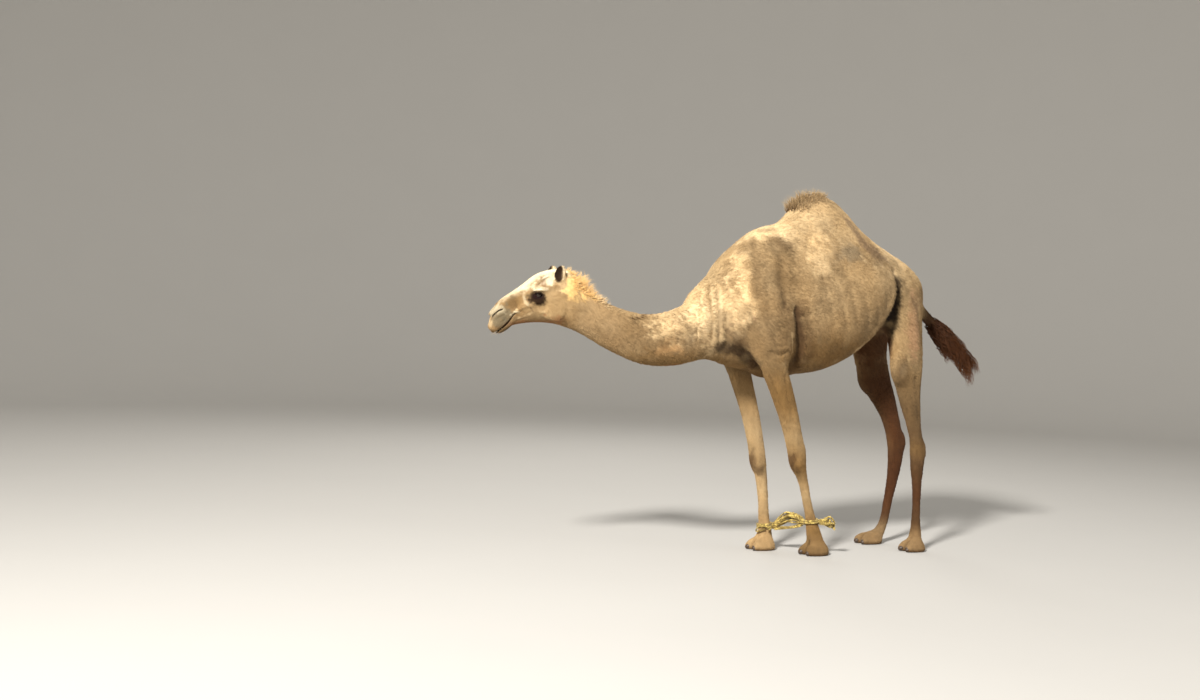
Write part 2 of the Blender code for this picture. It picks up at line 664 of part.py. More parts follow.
# ---------------------------------------------------------------- the pieces
NECK_CUT = ((-0.86, 0.0, 1.40), 8.0, 0.0)          # point, lean and yaw of the cutting plane
HEAD_CUT = ((-1.697, 0.153, 1.43), 19.0, -HEAD_YAW)
HUMP_CUT = ((-0.10, 0.0, 1.795), 98.5, 0.0)
TAIL_CUT = ((0.655, 0.0, 1.324), 215.0, 0.0)
HAIR_CUT = ((0.728, 0.0, 1.266), 215.0, 0.0)
SOLE_CUT = ((GROUND_AT, 0.0, 0.0), GROUND_FALL - 90.0, 0.0)
SOLE_TRIM = 0.001                   # cut off under each foot, which leaves a flat sole
JAW_OUTLINE = [(0.080, 1.220), (0.500, 1.220), (0.500, 1.238),
               (0.326, 1.378), (0.300, 1.386), (0.080, 1.376)]

# Lowest and highest corner of the block round one leg, on the animal's right.
LEG_BLOCKS = {'fore': ((-0.800, 0.080, -0.100), (-0.150, 0.400, 1.020)),
              'hind': ((0.150, 0.010, -0.100), (0.750, 0.400, 1.150))}
# Levels at which a leg is parted, from its foot up, and names of the pieces.
LEG_LEVELS = {'fore': (0.128, 0.470), 'hind': (0.122, 0.500)}
LEG_PIECES = {'fore': ('foot', 'cannon', 'forearm'), 'hind': ('foot', 'cannon', 'thigh')}
LEG_TRIANGLES = (230, 145, 220)


def leg_block(name):
    lo, hi = LEG_BLOCKS[name.split('_')[1]]
    if name.startswith('left'):
        return (lo[0], -hi[1], lo[2]), (hi[0], -lo[1], hi[2])
    return lo, hi


def beyond(name, cut, room, reach=3.0):
    point, lean, yaw = cut
    return half_space(name, point, lean, room, reach, yaw)


def make_trunk(body):
    trunk = grow('trunk', body, (-1.00, -0.40, 0.90), (0.76, 0.40, 1.95), 0.024, 1200, COAT)
    carve(trunk, beyond('cut_trunk_neck', NECK_CUT, GAP / 2), 'DIFFERENCE')
    carve(trunk, beyond('cut_trunk_hump', HUMP_CUT, GAP / 2), 'DIFFERENCE')
    carve(trunk, beyond('cut_trunk_tail', TAIL_CUT, GAP / 2, reach=0.25), 'DIFFERENCE')
    for name in LEG_LINES:
        carve(trunk, block('cut_trunk_' + name, *leg_block(name), room=GAP / 2), 'DIFFERENCE')
    hump = grow('hump', body, (-0.62, -0.40, 1.66), (0.45, 0.40, 2.06), 0.016, 430, COAT)
    carve(hump, beyond('cut_hump_trunk', HUMP_CUT, -GAP / 2), 'INTERSECT')


def make_neck_and_head(body):
    neck = grow('neck', body, (-1.84, -0.30, 1.00), (-0.78, 0.34, 1.72), 0.018, 680, COAT)
    carve(neck, beyond('cut_neck_trunk', NECK_CUT, -GAP / 2), 'INTERSECT')
    carve(neck, beyond('cut_neck_head', HEAD_CUT, GAP / 2), 'DIFFERENCE')
    head = grow('head', body, (-2.20, -0.05, 1.20), (-1.60, 0.40, 1.66), 0.008, 1260, COAT)
    carve(head, beyond('cut_head_neck', HEAD_CUT, -GAP / 2), 'INTERSECT')
    carve(head, prism('cut_head_jaw', JAW_OUTLINE, 0.20, GAP / 2), 'DIFFERENCE')
    jaw = grow('lower_jaw', body, (-2.20, -0.05, 1.20), (-1.70, 0.40, 1.42), 0.008, 340, COAT)
    carve(jaw, prism('cut_jaw_head', JAW_OUTLINE, 0.20, -GAP / 2), 'INTERSECT')
    for side, word in ((1, 'left'), (-1, 'right')):
        middle = head_to_body((EYE_AT[0], side * EYE_AT[1], EYE_AT[2]))
        carve(head, add_ball('cut_' + word + '_socket', middle, EYE_RADIUS + SOCKET_ROOM), 'DIFFERENCE')
        add_ball(word + '_eye', middle, EYE_RADIUS, is_cutter=False)
        ear = Beside(ear_shape(side), body, TRIM_GAP)
        grow(word + '_ear', ear, ear.lo, ear.hi, 0.0045, 200, COAT)


def add_ball(name, middle, radius, is_cutter=True):
    shell = bmesh.new()
    bmesh.ops.create_uvsphere(shell, u_segments=14, v_segments=8, radius=radius)
    bmesh.ops.translate(shell, verts=shell.verts, vec=middle)
    mesh = bpy.data.meshes.new(name)
    shell.to_mesh(mesh)
    shell.free()
    mesh.shade_smooth()
    mesh.materials.append(finish(name + '_finish', EYE, 0.1))
    ball = bpy.data.objects.new(name, mesh)
    bpy.context.collection.objects.link(ball)
    if is_cutter:
        ball.hide_render = True
        ball.display_type = 'WIRE'
    return ball


def make_legs(body):
    for name in LEG_LINES:
        pair = name.split('_')[1]
        lo, hi = leg_block(name)
        levels = (lo[2], *LEG_LEVELS[pair], hi[2])
        for i, piece in enumerate(LEG_PIECES[pair]):
            low = (lo[0], lo[1], levels[i])
            high = (hi[0], hi[1], levels[i + 1])
            step = 0.009 if piece == 'foot' else 0.012
            full = name + '_' + piece
            leg = grow(full, body, (low[0], low[1], low[2] - 0.03), (high[0], high[1], high[2] + 0.03),
                       step, LEG_TRIANGLES[i], COAT)
            carve(leg, block('cut_' + full, low, high, room=-GAP / 2), 'INTERSECT')
            if piece == 'foot':
                carve(leg, beyond('cut_' + full + '_sole', SOLE_CUT, SOLE_TRIM), 'DIFFERENCE')
        for side, word in ((1, 'right'), (-1, 'left')):
            nail = Beside(nail_shape(name, side), body, TRIM_GAP)
            grow(name + '_' + word + '_nail', nail, nail.lo, nail.hi, 0.003, 54, HORN, 0.6)


def make_tail_and_long_hair(body):
    tail = grow('tail', body, (0.60, -0.10, 1.20), (0.86, 0.10, 1.44), 0.008, 140, COAT)
    carve(tail, beyond('cut_tail_trunk', TAIL_CUT, -GAP / 2, reach=0.5), 'INTERSECT')
    carve(tail, beyond('cut_tail_hair', HAIR_CUT, GAP / 2, reach=0.5), 'DIFFERENCE')
    hair = switch_shape()
    switch = grow('tail_switch', hair, hair.lo, hair.hi, 0.007, 360, DARK_HAIR)
    carve(switch, beyond('cut_hair_tail', HAIR_CUT, -GAP / 2, reach=0.6), 'INTERSECT')
    tufts = (('hump_crest', crest_shape(), CREST_HAIR), ('nape_tuft', nape_shape(), NAPE_HAIR))
    for name, shape, colour in tufts:
        tuft = Beside(shape, body, HAIR_GAP, 0.014)
        grow(name, tuft, tuft.lo, tuft.hi, 0.006, 220, colour)


# ---------------------------------------------------------------- the hobble
# Level of each rope ring, and the middle of the leg there.
RINGS = {'left': (-0.301, -0.121, 0.190), 'right': (-0.421, 0.151, 0.142)}
RING_HALF_TALL = 0.5 * ROPE_THICK * (ROPE_TURNS + 0.6)
RING_HALF_DEEP = 0.5 * ROPE_THICK + 0.0015
RING_ROOM = 0.002
LINK_ROUTE = [(-0.385, 0.098, 0.150), (-0.372, 0.080, 0.166), (-0.357, 0.050, 0.192), (-0.343, 0.018, 0.213),
              (-0.333, -0.012, 0.213), (-0.322, -0.040, 0.203), (-0.315, -0.060, 0.194)]
STRAND_ROUTE = [(-0.386, 0.101, 0.122), (-0.368, 0.074, 0.128), (-0.350, 0.038, 0.135),
                (-0.335, 0.003, 0.142), (-0.323, -0.034, 0.152), (-0.316, -0.060, 0.164)]


def round_the_leg(body, middle, angle, room):
    """Distance from the middle of a leg to a point this far outside its surface."""
    way = np.array((math.cos(angle), math.sin(angle), 0.0))
    reach = np.linspace(0.01, 0.12, 221)
    found = []
    for rise in (-RING_HALF_TALL, 0.0, RING_HALF_TALL):
        start = np.asarray(middle) + (0.0, 0.0, rise)
        found.append(reach[np.argmax(body(start + reach[:, None] * way) > room)])
    return max(found)


def make_ring(name, body, middle, around=22, section=8):
    """A band of rope that follows the pastern at an even distance."""
    verts = []
    faces = []
    for i in range(around):
        angle = 2 * math.pi * i / around
        out = round_the_leg(body, middle, angle, RING_ROOM + RING_HALF_DEEP)
        for j in range(section):
            turn = 2 * math.pi * j / section
            far = out + RING_HALF_DEEP * math.cos(turn)
            verts.append((middle[0] + far * math.cos(angle), middle[1] + far * math.sin(angle),
                          middle[2] + RING_HALF_TALL * math.sin(turn)))
            a, b = i * section + j, i * section + (j + 1) % section
            c, d = ((i + 1) % around) * section + j, ((i + 1) % around) * section + (j + 1) % section
            faces.append((a, c, d, b))
    add_object(name, verts, faces, ROPE)


def make_bundle(name, route, half):
    """A round bar of twisted rope along a smooth route."""
    curve = bpy.data.curves.new(name, 'CURVE')
    curve.dimensions = '3D'
    curve.bevel_depth = half
    curve.bevel_resolution = 2
    curve.use_fill_caps = True
    line = curve.splines.new('POLY')
    places = spline(route, 2)
    line.points.add(len(places) - 1)
    for point, place in zip(line.points, places):
        point.co = (*place, 1.0)
    curve.materials.append(finish(name + '_finish', ROPE, 0.9))
    bpy.context.collection.objects.link(bpy.data.objects.new(name, curve))


def make_hobble(body):
    for word, middle in RINGS.items():
        make_ring('hobble_' + word + '_ring', body, middle)
    make_bundle('hobble_link', LINK_ROUTE, LINK_HALF)
    make_bundle('hobble_strand', STRAND_ROUTE, STRAND_HALF)
    x, y, z = RINGS['left']
    knot = Group()
    knot.add(Ball((x + 0.0737, y - 0.0443, z + 0.004), (0.029, 0.023, 0.033), turn=25))
    knot.add(Ball((x + 0.1000, y - 0.0520, z - 0.018), (0.028, 0.018, 0.027), turn=-20), 0.015)
    knot.add(Ball((x + 0.0797, y - 0.0463, z + 0.030), (0.020, 0.016, 0.015)), 0.015)
    grow('hobble_left_knot', knot, knot.lo, knot.hi, 0.006, 260, ROPE)
    x, y, z = RINGS['right']
    front = Ball((x - 0.022, y - 0.073, z - 0.004), (0.016, 0.013, 0.022), turn=10)
    grow('hobble_right_knot', front, front.lo, front.hi, 0.005, 120, ROPE)


# ---------------------------------------------------------------- the whole model
def stand_on_origin():
    """Turns the soles level, and brings the middle of the box's floor to the origin."""
    level = Matrix.Rotation(-math.radians(GROUND_FALL), 4, 'Y')
    for obj in bpy.data.objects:
        obj.data.transform(level)
    bpy.context.view_layer.update()
    low = np.full(3, FAR)
    high = np.full(3, -FAR)
    graph = bpy.context.evaluated_depsgraph_get()
    for obj in bpy.data.objects:
        if obj.hide_render:
            continue
        mesh = obj.evaluated_get(graph).to_mesh()
        points = np.empty(3 * len(mesh.vertices))
        mesh.vertices.foreach_get('co', points)
        points = points.reshape(-1, 3)
        low = np.minimum(low, points.min(0))
        high = np.maximum(high, points.max(0))
    shift = Matrix.Translation((-(low[0] + high[0]) / 2, -(low[1] + high[1]) / 2, -low[2]))
    for obj in bpy.data.objects:
        obj.data.transform(shift)
    print('moved by', tuple(round(value, 5) for value in shift.translation))


def main():
    for obj in list(bpy.data.objects):
        bpy.data.objects.remove(obj, do_unlink=True)
    body = flesh()
    make_trunk(body)
    make_neck_and_head(body)
    make_legs(body)
    make_tail_and_long_hair(body)
    make_hobble(body)
    stand_on_origin()


main()
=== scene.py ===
"""A dromedary camel standing in a rope hobble: skin, coat, long hair, eyes, nails, rope and stage.

The skin is meshed from the same smooth shapes as the solids, in the pose on gently falling
ground, then brought to the frame's level floor. The coat's tufts and the long locks grow
out of it by Geometry Nodes.
"""
import math

import bmesh
import bpy
import numpy as np
from bpy.props import FloatProperty, FloatVectorProperty, PointerProperty
from mathutils import Matrix, Vector
from mathutils.kdtree import KDTree


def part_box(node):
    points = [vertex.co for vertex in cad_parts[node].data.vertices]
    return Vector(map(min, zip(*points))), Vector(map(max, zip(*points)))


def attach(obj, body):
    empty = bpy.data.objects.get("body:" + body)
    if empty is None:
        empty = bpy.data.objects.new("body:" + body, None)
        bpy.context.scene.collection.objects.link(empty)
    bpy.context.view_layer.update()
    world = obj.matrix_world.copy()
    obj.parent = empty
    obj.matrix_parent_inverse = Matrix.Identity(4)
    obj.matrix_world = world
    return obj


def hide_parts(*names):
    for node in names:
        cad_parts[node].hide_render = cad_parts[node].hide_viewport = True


bl_info = {
    "name": "Dromedary camel",
    "version": (1, 0, 0),
    "blender": (4, 5, 0),
    "location": "View3D > Sidebar > Camel",
    "description": "Builds a life-size dromedary with its coat and rope hobble",
    "category": "Object",
}

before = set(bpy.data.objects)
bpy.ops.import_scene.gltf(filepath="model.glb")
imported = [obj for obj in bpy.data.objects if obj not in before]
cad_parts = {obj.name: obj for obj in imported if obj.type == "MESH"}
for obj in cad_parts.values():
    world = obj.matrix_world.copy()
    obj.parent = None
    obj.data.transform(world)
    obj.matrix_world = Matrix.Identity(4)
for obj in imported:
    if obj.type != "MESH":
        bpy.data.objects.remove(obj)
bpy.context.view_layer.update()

GROUND_FALL = 2.6                   # degrees that the ground under the pose falls towards the tail
GROUND_AT = -0.36                   # where the sloping ground is at level zero
HEAD_AT = np.array((-1.685, 0.150, 0.0))
HEAD_YAW = 15.0                     # degrees that the head is turned
EYE_AT = (0.206, 0.0715, 1.470)     # forward, aside and up, in the head's frame
EYE_RADIUS = 0.0200
LID_ARCH = 0.0212                   # radius of the rims of the eyelids, just outside the eye
UPPER_LID, LOWER_LID = 0.0088, -0.0082      # height of the open lids over the middle of the eye
ROPE_THICK = 0.011
FAR = 9.0                           # a distance beyond everything
SOLE_TRIM = 0.0012                  # the soles stand this far clear of the ground


def mm(rows):
    """Rows written in millimetres, as an array in metres."""
    return np.array(rows) / 1000


def in_metres(rows, count):
    """Table rows whose first entries, this many of them, are written in millimetres."""
    return [tuple(mm(entry) for entry in row[:count]) + tuple(row[count:]) for row in rows]


def ramp(value, start, size):
    """From 0 at the start to 1 a size further on; a size below zero runs downwards."""
    return np.clip((value - start) / size, 0, 1)


def band(value, middle, half):
    """1 in the middle of a band, falling to 0 half its width away."""
    return np.clip(1 - np.abs(value - middle) / half, 0, 1)


def mixed(a, b, share):
    """Rows of a turned into rows of b by a share for each row."""
    return a * (1 - share)[:, None] + b * share[:, None]


def unit(v):
    v = np.asarray(v, float)
    return v / (np.linalg.norm(v, axis=-1, keepdims=True) + 1e-9)


# ---------------------------------------------------------------- smooth shapes
# Each shape answers how far a set of points lies outside its surface, in metres.
def smooth_min(a, b, blend):
    """The lower of two distances, rounded where they cross."""
    h = np.maximum(blend - np.abs(a - b), 0.0) / blend
    return np.minimum(a, b) - h * h * blend * 0.25


def smooth_max(a, b, blend):
    """The higher of two distances, rounded where they cross."""
    return -smooth_min(-a, -b, blend)


def spline(rows, steps):
    """A smooth curve through rows of numbers, with this many steps between two rows."""
    rows = np.asarray(rows, float)
    ends = np.vstack([2 * rows[0] - rows[1], rows, 2 * rows[-1] - rows[-2]])
    t = (np.arange(steps) / steps)[:, None]
    out = []
    for p0, p1, p2, p3 in zip(ends, ends[1:], ends[2:], ends[3:]):
        bend = (2 * p0 - 5 * p1 + 4 * p2 - p3) * t ** 2
        twist = (3 * p1 - p0 - 3 * p2 + p3) * t ** 3
        out.append(0.5 * (2 * p1 + (p2 - p0) * t + bend + twist))
    out.append(rows[-1:])
    return np.concatenate(out)


def radial(offset, ratio, least):
    """Distance outside a surface, from the offset to its middle and the share of the way."""
    length = np.linalg.norm(offset, axis=1)
    return np.where(ratio < 0.05, -least, length * (1 - 1 / ratio))


class Limb:
    """A tapering limb along a smooth line. Rows: x, y, z, half depth, half width."""

    def __init__(self, rows, steps=4):
        line = spline(rows, steps)
        self.centre = line[:, :3]
        self.half = line[:, 3:5]
        reach = self.half.max()
        self.lo = self.centre.min(0) - reach
        self.hi = self.centre.max(0) + reach

    def __call__(self, p):
        best = np.full(len(p), FAR)
        for i in range(len(self.centre) - 1):
            a, b = self.centre[i], self.centre[i + 1]
            reach = self.half[i:i + 2].max() + 0.085
            close = near_box(p, np.minimum(a, b) - reach, np.maximum(a, b) + reach)
            if not len(close):
                continue
            axis = b - a
            length = np.linalg.norm(axis)
            axis = axis / length
            deep = np.cross((0.0, 1.0, 0.0), axis)
            deep /= np.linalg.norm(deep)
            wide = np.cross(axis, deep)
            rel = p[close] - a
            along = rel @ axis
            on = np.clip(along, 0, length)
            share = on / length
            step = self.half[i + 1] - self.half[i]
            half_deep = self.half[i, 0] + share * step[0]
            half_wide = self.half[i, 1] + share * step[1]
            least = np.minimum(half_deep, half_wide)
            x, y, z = rel @ deep, rel @ wide, along - on
            ratio = np.sqrt((x / half_deep) ** 2 + (y / half_wide) ** 2 + (z / least) ** 2) + 1e-9
            far = np.sqrt(x * x + y * y + z * z)
            best[close] = np.minimum(best[close], np.where(ratio < 0.05, -least, far * (1 - 1 / ratio)))
        return best


class Ball:
    """An ellipsoid, turned about its side axis (Y), rolled about X and yawed about Z."""

    def __init__(self, centre, radii, turn=0.0, roll=0.0, yaw=0.0):
        self.centre = np.asarray(centre, float)
        self.radii = np.asarray(radii, float)
        turned = Matrix.Rotation(math.radians(turn), 3, 'Y') @ Matrix.Rotation(math.radians(roll), 3, 'X')
        self.axes = np.array(Matrix.Rotation(math.radians(yaw), 3, 'Z') @ turned)
        self.lo = self.centre - self.radii.max()
        self.hi = self.centre + self.radii.max()

    def __call__(self, p):
        q = (p - self.centre) @ self.axes
        scaled = q / self.radii
        steeper = scaled / self.radii
        near = np.sqrt(np.einsum('ij,ij->i', scaled, scaled)) + 1e-9
        steep = np.sqrt(np.einsum('ij,ij->i', steeper, steeper)) + 1e-9
        return near * (near - 1) / steep


class Loft:
    """A body along X. Rows: x, top, bottom, widest height, half width, upper and lower roundness."""

    def __init__(self, rows, steps=6):
        self.rows = spline(rows, steps)
        self.lo = np.array([self.rows[0, 0], -self.rows[:, 4].max(), self.rows[:, 2].min()])
        self.hi = np.array([self.rows[-1, 0], self.rows[:, 4].max(), self.rows[:, 1].max()])

    def __call__(self, p):
        x = self.rows[:, 0]
        columns = [np.interp(p[:, 0], x, self.rows[:, j]) for j in range(1, 7)]
        top, low, mid, wide, round_up, round_low = columns
        rise = p[:, 2] - mid
        half = np.where(rise > 0, top - mid, mid - low)
        power = np.where(rise > 0, round_up, round_low)
        ratio = (np.abs(p[:, 1] / wide) ** power + np.abs(rise / half) ** power) ** (1 / power) + 1e-9
        side = radial(np.stack([p[:, 1], rise], 1), ratio, np.minimum(wide, half))
        ends = np.maximum(x[0] - p[:, 0], p[:, 0] - x[-1])
        return smooth_max(side, ends, 0.04)


class Pad:
    """A broad foot: a squarish ellipsoid whose middle lies just above the ground."""

    def __init__(self, centre, half_long, half_wide, tall):
        self.centre = np.array([centre[0], centre[1], ground(centre[0]) + 0.012])
        self.half = np.array([half_long, half_wide, tall])
        self.lo = self.centre - self.half
        self.hi = self.centre + self.half

    def __call__(self, p):
        q = p - self.centre
        ratio = (np.abs(q / self.half) ** 2.3).sum(1) ** (1 / 2.3) + 1e-9
        return radial(q, ratio, self.half.min())


class Underground:
    """Everything under the ground."""

    lo = np.full(3, -FAR)
    hi = np.array([FAR, FAR, 0.10])

    def __call__(self, p):
        return (p[:, 2] - ground(p[:, 0])) * math.cos(math.radians(GROUND_FALL)) - SOLE_TRIM


def near_box(p, lo, hi):
    """Numbers of the points inside a box."""
    close = np.flatnonzero((p[:, 0] > lo[0]) & (p[:, 0] < hi[0]))
    q = p[close]
    keep = (q[:, 1] > lo[1]) & (q[:, 1] < hi[1]) & (q[:, 2] > lo[2]) & (q[:, 2] < hi[2])
    return close[keep]


class Group:
    """Shapes joined or cut one after the other, each with its own blend."""

    def __init__(self):
        self.steps = []
        self.lo = np.full(3, FAR)
        self.hi = np.full(3, -FAR)

    def add(self, shape, blend=0.03):
        self.steps.append((shape, blend, True))
        self.lo = np.minimum(self.lo, shape.lo)
        self.hi = np.maximum(self.hi, shape.hi)

    def cut(self, shape, blend=0.01):
        self.steps.append((shape, blend, False))

    def balls(self, rows, side=1):
        """Ellipsoids joined to the group, or cut out of it where the blend is below zero.

        Rows: middle (3), half sizes (3), turn and blend, in millimetres and degrees.
        """
        for x, y, z, deep, wide, tall, turn, blend in rows:
            ball = Ball(mm((x, side * y, z)), mm((deep, wide, tall)), turn)
            (self.add if blend > 0 else self.cut)(ball, abs(blend) / 1000)

    def __call__(self, p):
        d = np.full(len(p), FAR)
        for shape, blend, joined in self.steps:
            reach = blend + 0.03
            close = near_box(p, shape.lo - reach, shape.hi + reach)
            if not len(close):
                continue
            value = shape(p[close])
            if joined:
                d[close] = smooth_min(d[close], value, blend)
            else:
                d[close] = smooth_max(d[close], -value, blend)
        return d


class OnHead:
    """A shape made in the head's frame (forward, left, up), set where the head is."""

    def __init__(self, shape):
        self.shape = shape
        corners = np.array([[x, y, z] for x in (shape.lo[0], shape.hi[0])
                            for y in (shape.lo[1], shape.hi[1]) for z in (shape.lo[2], shape.hi[2])])
        corners = head_to_body(corners)
        self.lo = corners.min(0)
        self.hi = corners.max(0)

    def __call__(self, p):
        return self.shape(body_to_head(p))


def head_axes():
    """Columns: forward, left and up of the head."""
    c = math.cos(math.radians(HEAD_YAW))
    s = math.sin(math.radians(HEAD_YAW))
    return np.array([[-c, -s, 0.0], [s, -c, 0.0], [0.0, 0.0, 1.0]])


def head_to_body(p):
    return HEAD_AT + np.asarray(p, float) @ head_axes().T


def body_to_head(p):
    return (np.asarray(p, float) - HEAD_AT) @ head_axes()


# ---------------------------------------------------------------- the animal
def trunk_shape():
    return Loft([
        (-1.00, 1.450, 1.170, 1.310, 0.060, 2.0, 2.0),
        (-0.90, 1.535, 1.125, 1.340, 0.115, 2.0, 2.0),
        (-0.83, 1.635, 1.090, 1.350, 0.155, 2.0, 2.0),
        (-0.74, 1.742, 1.060, 1.350, 0.186, 2.0, 1.9),
        (-0.62, 1.820, 1.035, 1.360, 0.206, 1.95, 1.8),
        (-0.50, 1.846, 1.018, 1.380, 0.224, 1.9, 1.8),
        (-0.35, 1.850, 1.012, 1.400, 0.252, 1.75, 2.0),
        (-0.18, 1.840, 1.028, 1.420, 0.274, 1.75, 2.1),
        (-0.02, 1.812, 1.085, 1.440, 0.288, 1.8, 2.1),
        (0.10, 1.784, 1.165, 1.470, 0.284, 1.8, 2.1),
        (0.20, 1.740, 1.262, 1.500, 0.254, 1.8, 2.1),
        (0.30, 1.705, 1.330, 1.520, 0.200, 1.9, 2.0),
        (0.40, 1.655, 1.350, 1.500, 0.150, 1.9, 2.0),
        (0.50, 1.560, 1.340, 1.450, 0.108, 1.9, 2.0),
        (0.58, 1.440, 1.320, 1.380, 0.055, 2.0, 2.0)])


def hump_shape():
    return Loft([
        (-0.50, 1.800, 1.55, 1.68, 0.050, 1.6, 2.0),
        (-0.43, 1.865, 1.55, 1.68, 0.115, 1.6, 2.0),
        (-0.36, 1.945, 1.55, 1.68, 0.155, 1.6, 2.0),
        (-0.28, 2.000, 1.55, 1.68, 0.180, 1.65, 2.0),
        (-0.19, 2.021, 1.55, 1.68, 0.195, 1.7, 2.0),
        (-0.10, 2.005, 1.55, 1.68, 0.200, 1.65, 2.0),
        (-0.01, 1.945, 1.55, 1.68, 0.195, 1.6, 2.0),
        (0.11, 1.822, 1.55, 1.66, 0.172, 1.6, 2.0),
        (0.24, 1.722, 1.52, 1.62, 0.125, 1.7, 2.0),
        (0.33, 1.665, 1.50, 1.58, 0.055, 1.8, 2.0)])


def neck_shape():
    return Limb(mm([
        (-700, 0, 1400, 270, 150), (-860, 0, 1345, 218, 135), (-985, 0, 1287, 162, 110),
        (-1134, 10, 1238, 150, 98), (-1291, 30, 1230, 137, 90), (-1426, 60, 1267, 121, 83),
        (-1562, 95, 1331, 109, 78), (-1675, 135, 1410, 105, 77), (-1760, 165, 1485, 92, 75)]), steps=5)


LEG_LINES = {
    'left_fore': mm([
        (-640, -150, 1420, 120, 70), (-640, -165, 1200, 105, 66), (-612, -172, 1079, 78, 60),
        (-562, -172, 960, 70, 55), (-497, -168, 787, 60, 48), (-455, -160, 660, 54, 46),
        (-431, -154, 590, 54, 50), (-420, -149, 530, 49, 47), (-390, -143, 465, 33, 35),
        (-362, -136, 390, 27, 27), (-340, -130, 315, 25, 26), (-314, -124, 235, 26, 28),
        (-288, -118, 155, 35, 38), (-266, -112, 85, 45, 47), (-252, -110, 30, 48, 52)]),
    'right_fore': mm([
        (-640, 150, 1420, 120, 70), (-635, 160, 1200, 105, 66), (-600, 170, 1059, 76, 60),
        (-563, 170, 938, 66, 55), (-512, 167, 777, 56, 47), (-474, 165, 610, 50, 45),
        (-463, 160, 510, 50, 48), (-442, 158, 430, 36, 36), (-431, 153, 302, 31, 29),
        (-425, 151, 190, 31, 30), (-421, 148, 120, 38, 40), (-427, 145, 70, 45, 47),
        (-437, 142, 30, 48, 52)]),
    'left_hind': mm([
        (325, -115, 1470, 138, 80), (350, -142, 1300, 126, 78), (366, -152, 1150, 113, 74),
        (371, -158, 1020, 104, 65), (384, -162, 892, 79, 54), (400, -164, 800, 63, 48),
        (417, -166, 715, 48, 41), (434, -168, 630, 41, 39), (446, -170, 530, 47, 41),
        (442, -173, 440, 40, 36), (439, -176, 370, 30, 30), (433, -181, 261, 24, 25),
        (425, -186, 145, 25, 27), (419, -190, 70, 32, 36), (406, -194, 5, 42, 47)]),
    'right_hind': mm([
        (320, 110, 1470, 140, 80), (340, 130, 1250, 130, 78), (358, 143, 1080, 112, 72),
        (416, 149, 925, 96, 62), (470, 149, 826, 78, 54), (512, 147, 731, 62, 45),
        (542, 145, 640, 56, 43), (562, 143, 550, 58, 43), (556, 141, 452, 49, 38),
        (532, 139, 332, 36, 31), (496, 133, 214, 26, 27), (460, 127, 97, 24, 27), (420, 122, 35, 30, 34),
        (372, 118, -5, 42, 46)])}

# Foot: middle of the pad, half length, half width, height of the pad.
FEET = {
    'left_fore': ((-0.262, -0.110), 0.077, 0.070, 0.062),
    'right_fore': ((-0.448, 0.140), 0.076, 0.069, 0.062),
    'left_hind': ((0.398, -0.195), 0.070, 0.062, 0.056),
    'right_hind': ((0.336, 0.117), 0.074, 0.063, 0.056)}


def ground(x):
    """Level of the ground under the pose, which falls towards the tail."""
    return -math.tan(math.radians(GROUND_FALL)) * (x - GROUND_AT)


def skull_shape():
    return Loft([
        (-0.02, 1.560, 1.300, 1.470, 0.072, 2.2, 1.8),
        (0.03, 1.588, 1.308, 1.490, 0.083, 2.2, 1.7),
        (0.08, 1.602, 1.315, 1.505, 0.090, 2.2, 1.6),
        (0.13, 1.600, 1.322, 1.505, 0.094, 2.3, 1.6),
        (0.18, 1.586, 1.326, 1.490, 0.091, 2.4, 1.6),
        (0.225, 1.561, 1.326, 1.468, 0.078, 2.4, 1.7),
        (0.275, 1.524, 1.322, 1.440, 0.059, 2.3, 2.0),
        (0.320, 1.494, 1.314, 1.418, 0.049, 2.2, 2.2),
        (0.365, 1.466, 1.298, 1.390, 0.046, 2.2, 2.3),
        (0.400, 1.440, 1.280, 1.362, 0.047, 2.2, 2.3),
        (0.430, 1.402, 1.270, 1.335, 0.042, 2.2, 2.3),
        (0.452, 1.345, 1.285, 1.316, 0.026, 2.0, 2.0)], steps=5)


class Outline:
    """A thin sheet across the head, through a line in its side view. Rows: forward, up."""

    def __init__(self, line, half, body, deep, least_aside=-1.0):
        self.line = spline(line, 4)
        self.half = half
        self.body = body
        self.deep = deep
        self.least_aside = least_aside
        pad = 0.03
        low = self.line.min(0) - pad
        high = self.line.max(0) + pad
        self.lo = np.array([low[0], -0.12, low[1]])
        self.hi = np.array([high[0], 0.12, high[1]])

    def __call__(self, p):
        away = line_distance(p[:, [0, 2]], self.line) - self.half
        inner = -(self.body(p) + self.deep)
        aside = self.least_aside - np.abs(p[:, 1])
        return np.maximum(np.maximum(away, inner), aside)


def line_distance(p, line):
    """Distance from points to a chain of segments."""
    best = np.full(len(p), FAR * FAR)
    for a, b in zip(line[:-1], line[1:]):
        along = b - a
        rel = p - a
        share = np.clip(rel @ along / (along @ along + 1e-12), 0, 1)
        rel -= share[:, None] * along
        best = np.minimum(best, np.einsum('ij,ij->i', rel, rel))
    return np.sqrt(best)


class Almond:
    """The gap between two eyelids, seen from the side of the head."""

    def __init__(self, side):
        self.side = side
        self.middle = np.array([EYE_AT[0], side * EYE_AT[1], EYE_AT[2]])
        self.lo = self.middle - 0.045
        self.hi = self.middle + 0.045

    def __call__(self, p):
        q = p - self.middle
        lean = math.radians(10)
        x = q[:, 0] * math.cos(lean) + q[:, 2] * math.sin(lean)
        z = q[:, 2] * math.cos(lean) - q[:, 0] * math.sin(lean)
        reach = 1 - np.clip(np.abs(x) / 0.0180, 0, 1.6) ** 2
        gap = np.maximum(z - UPPER_LID * reach, LOWER_LID * reach - z) * 0.8
        inward = 0.006 - q[:, 1] * self.side
        far = np.linalg.norm(q, axis=1) - 0.034
        return np.maximum(np.maximum(gap, inward), far)


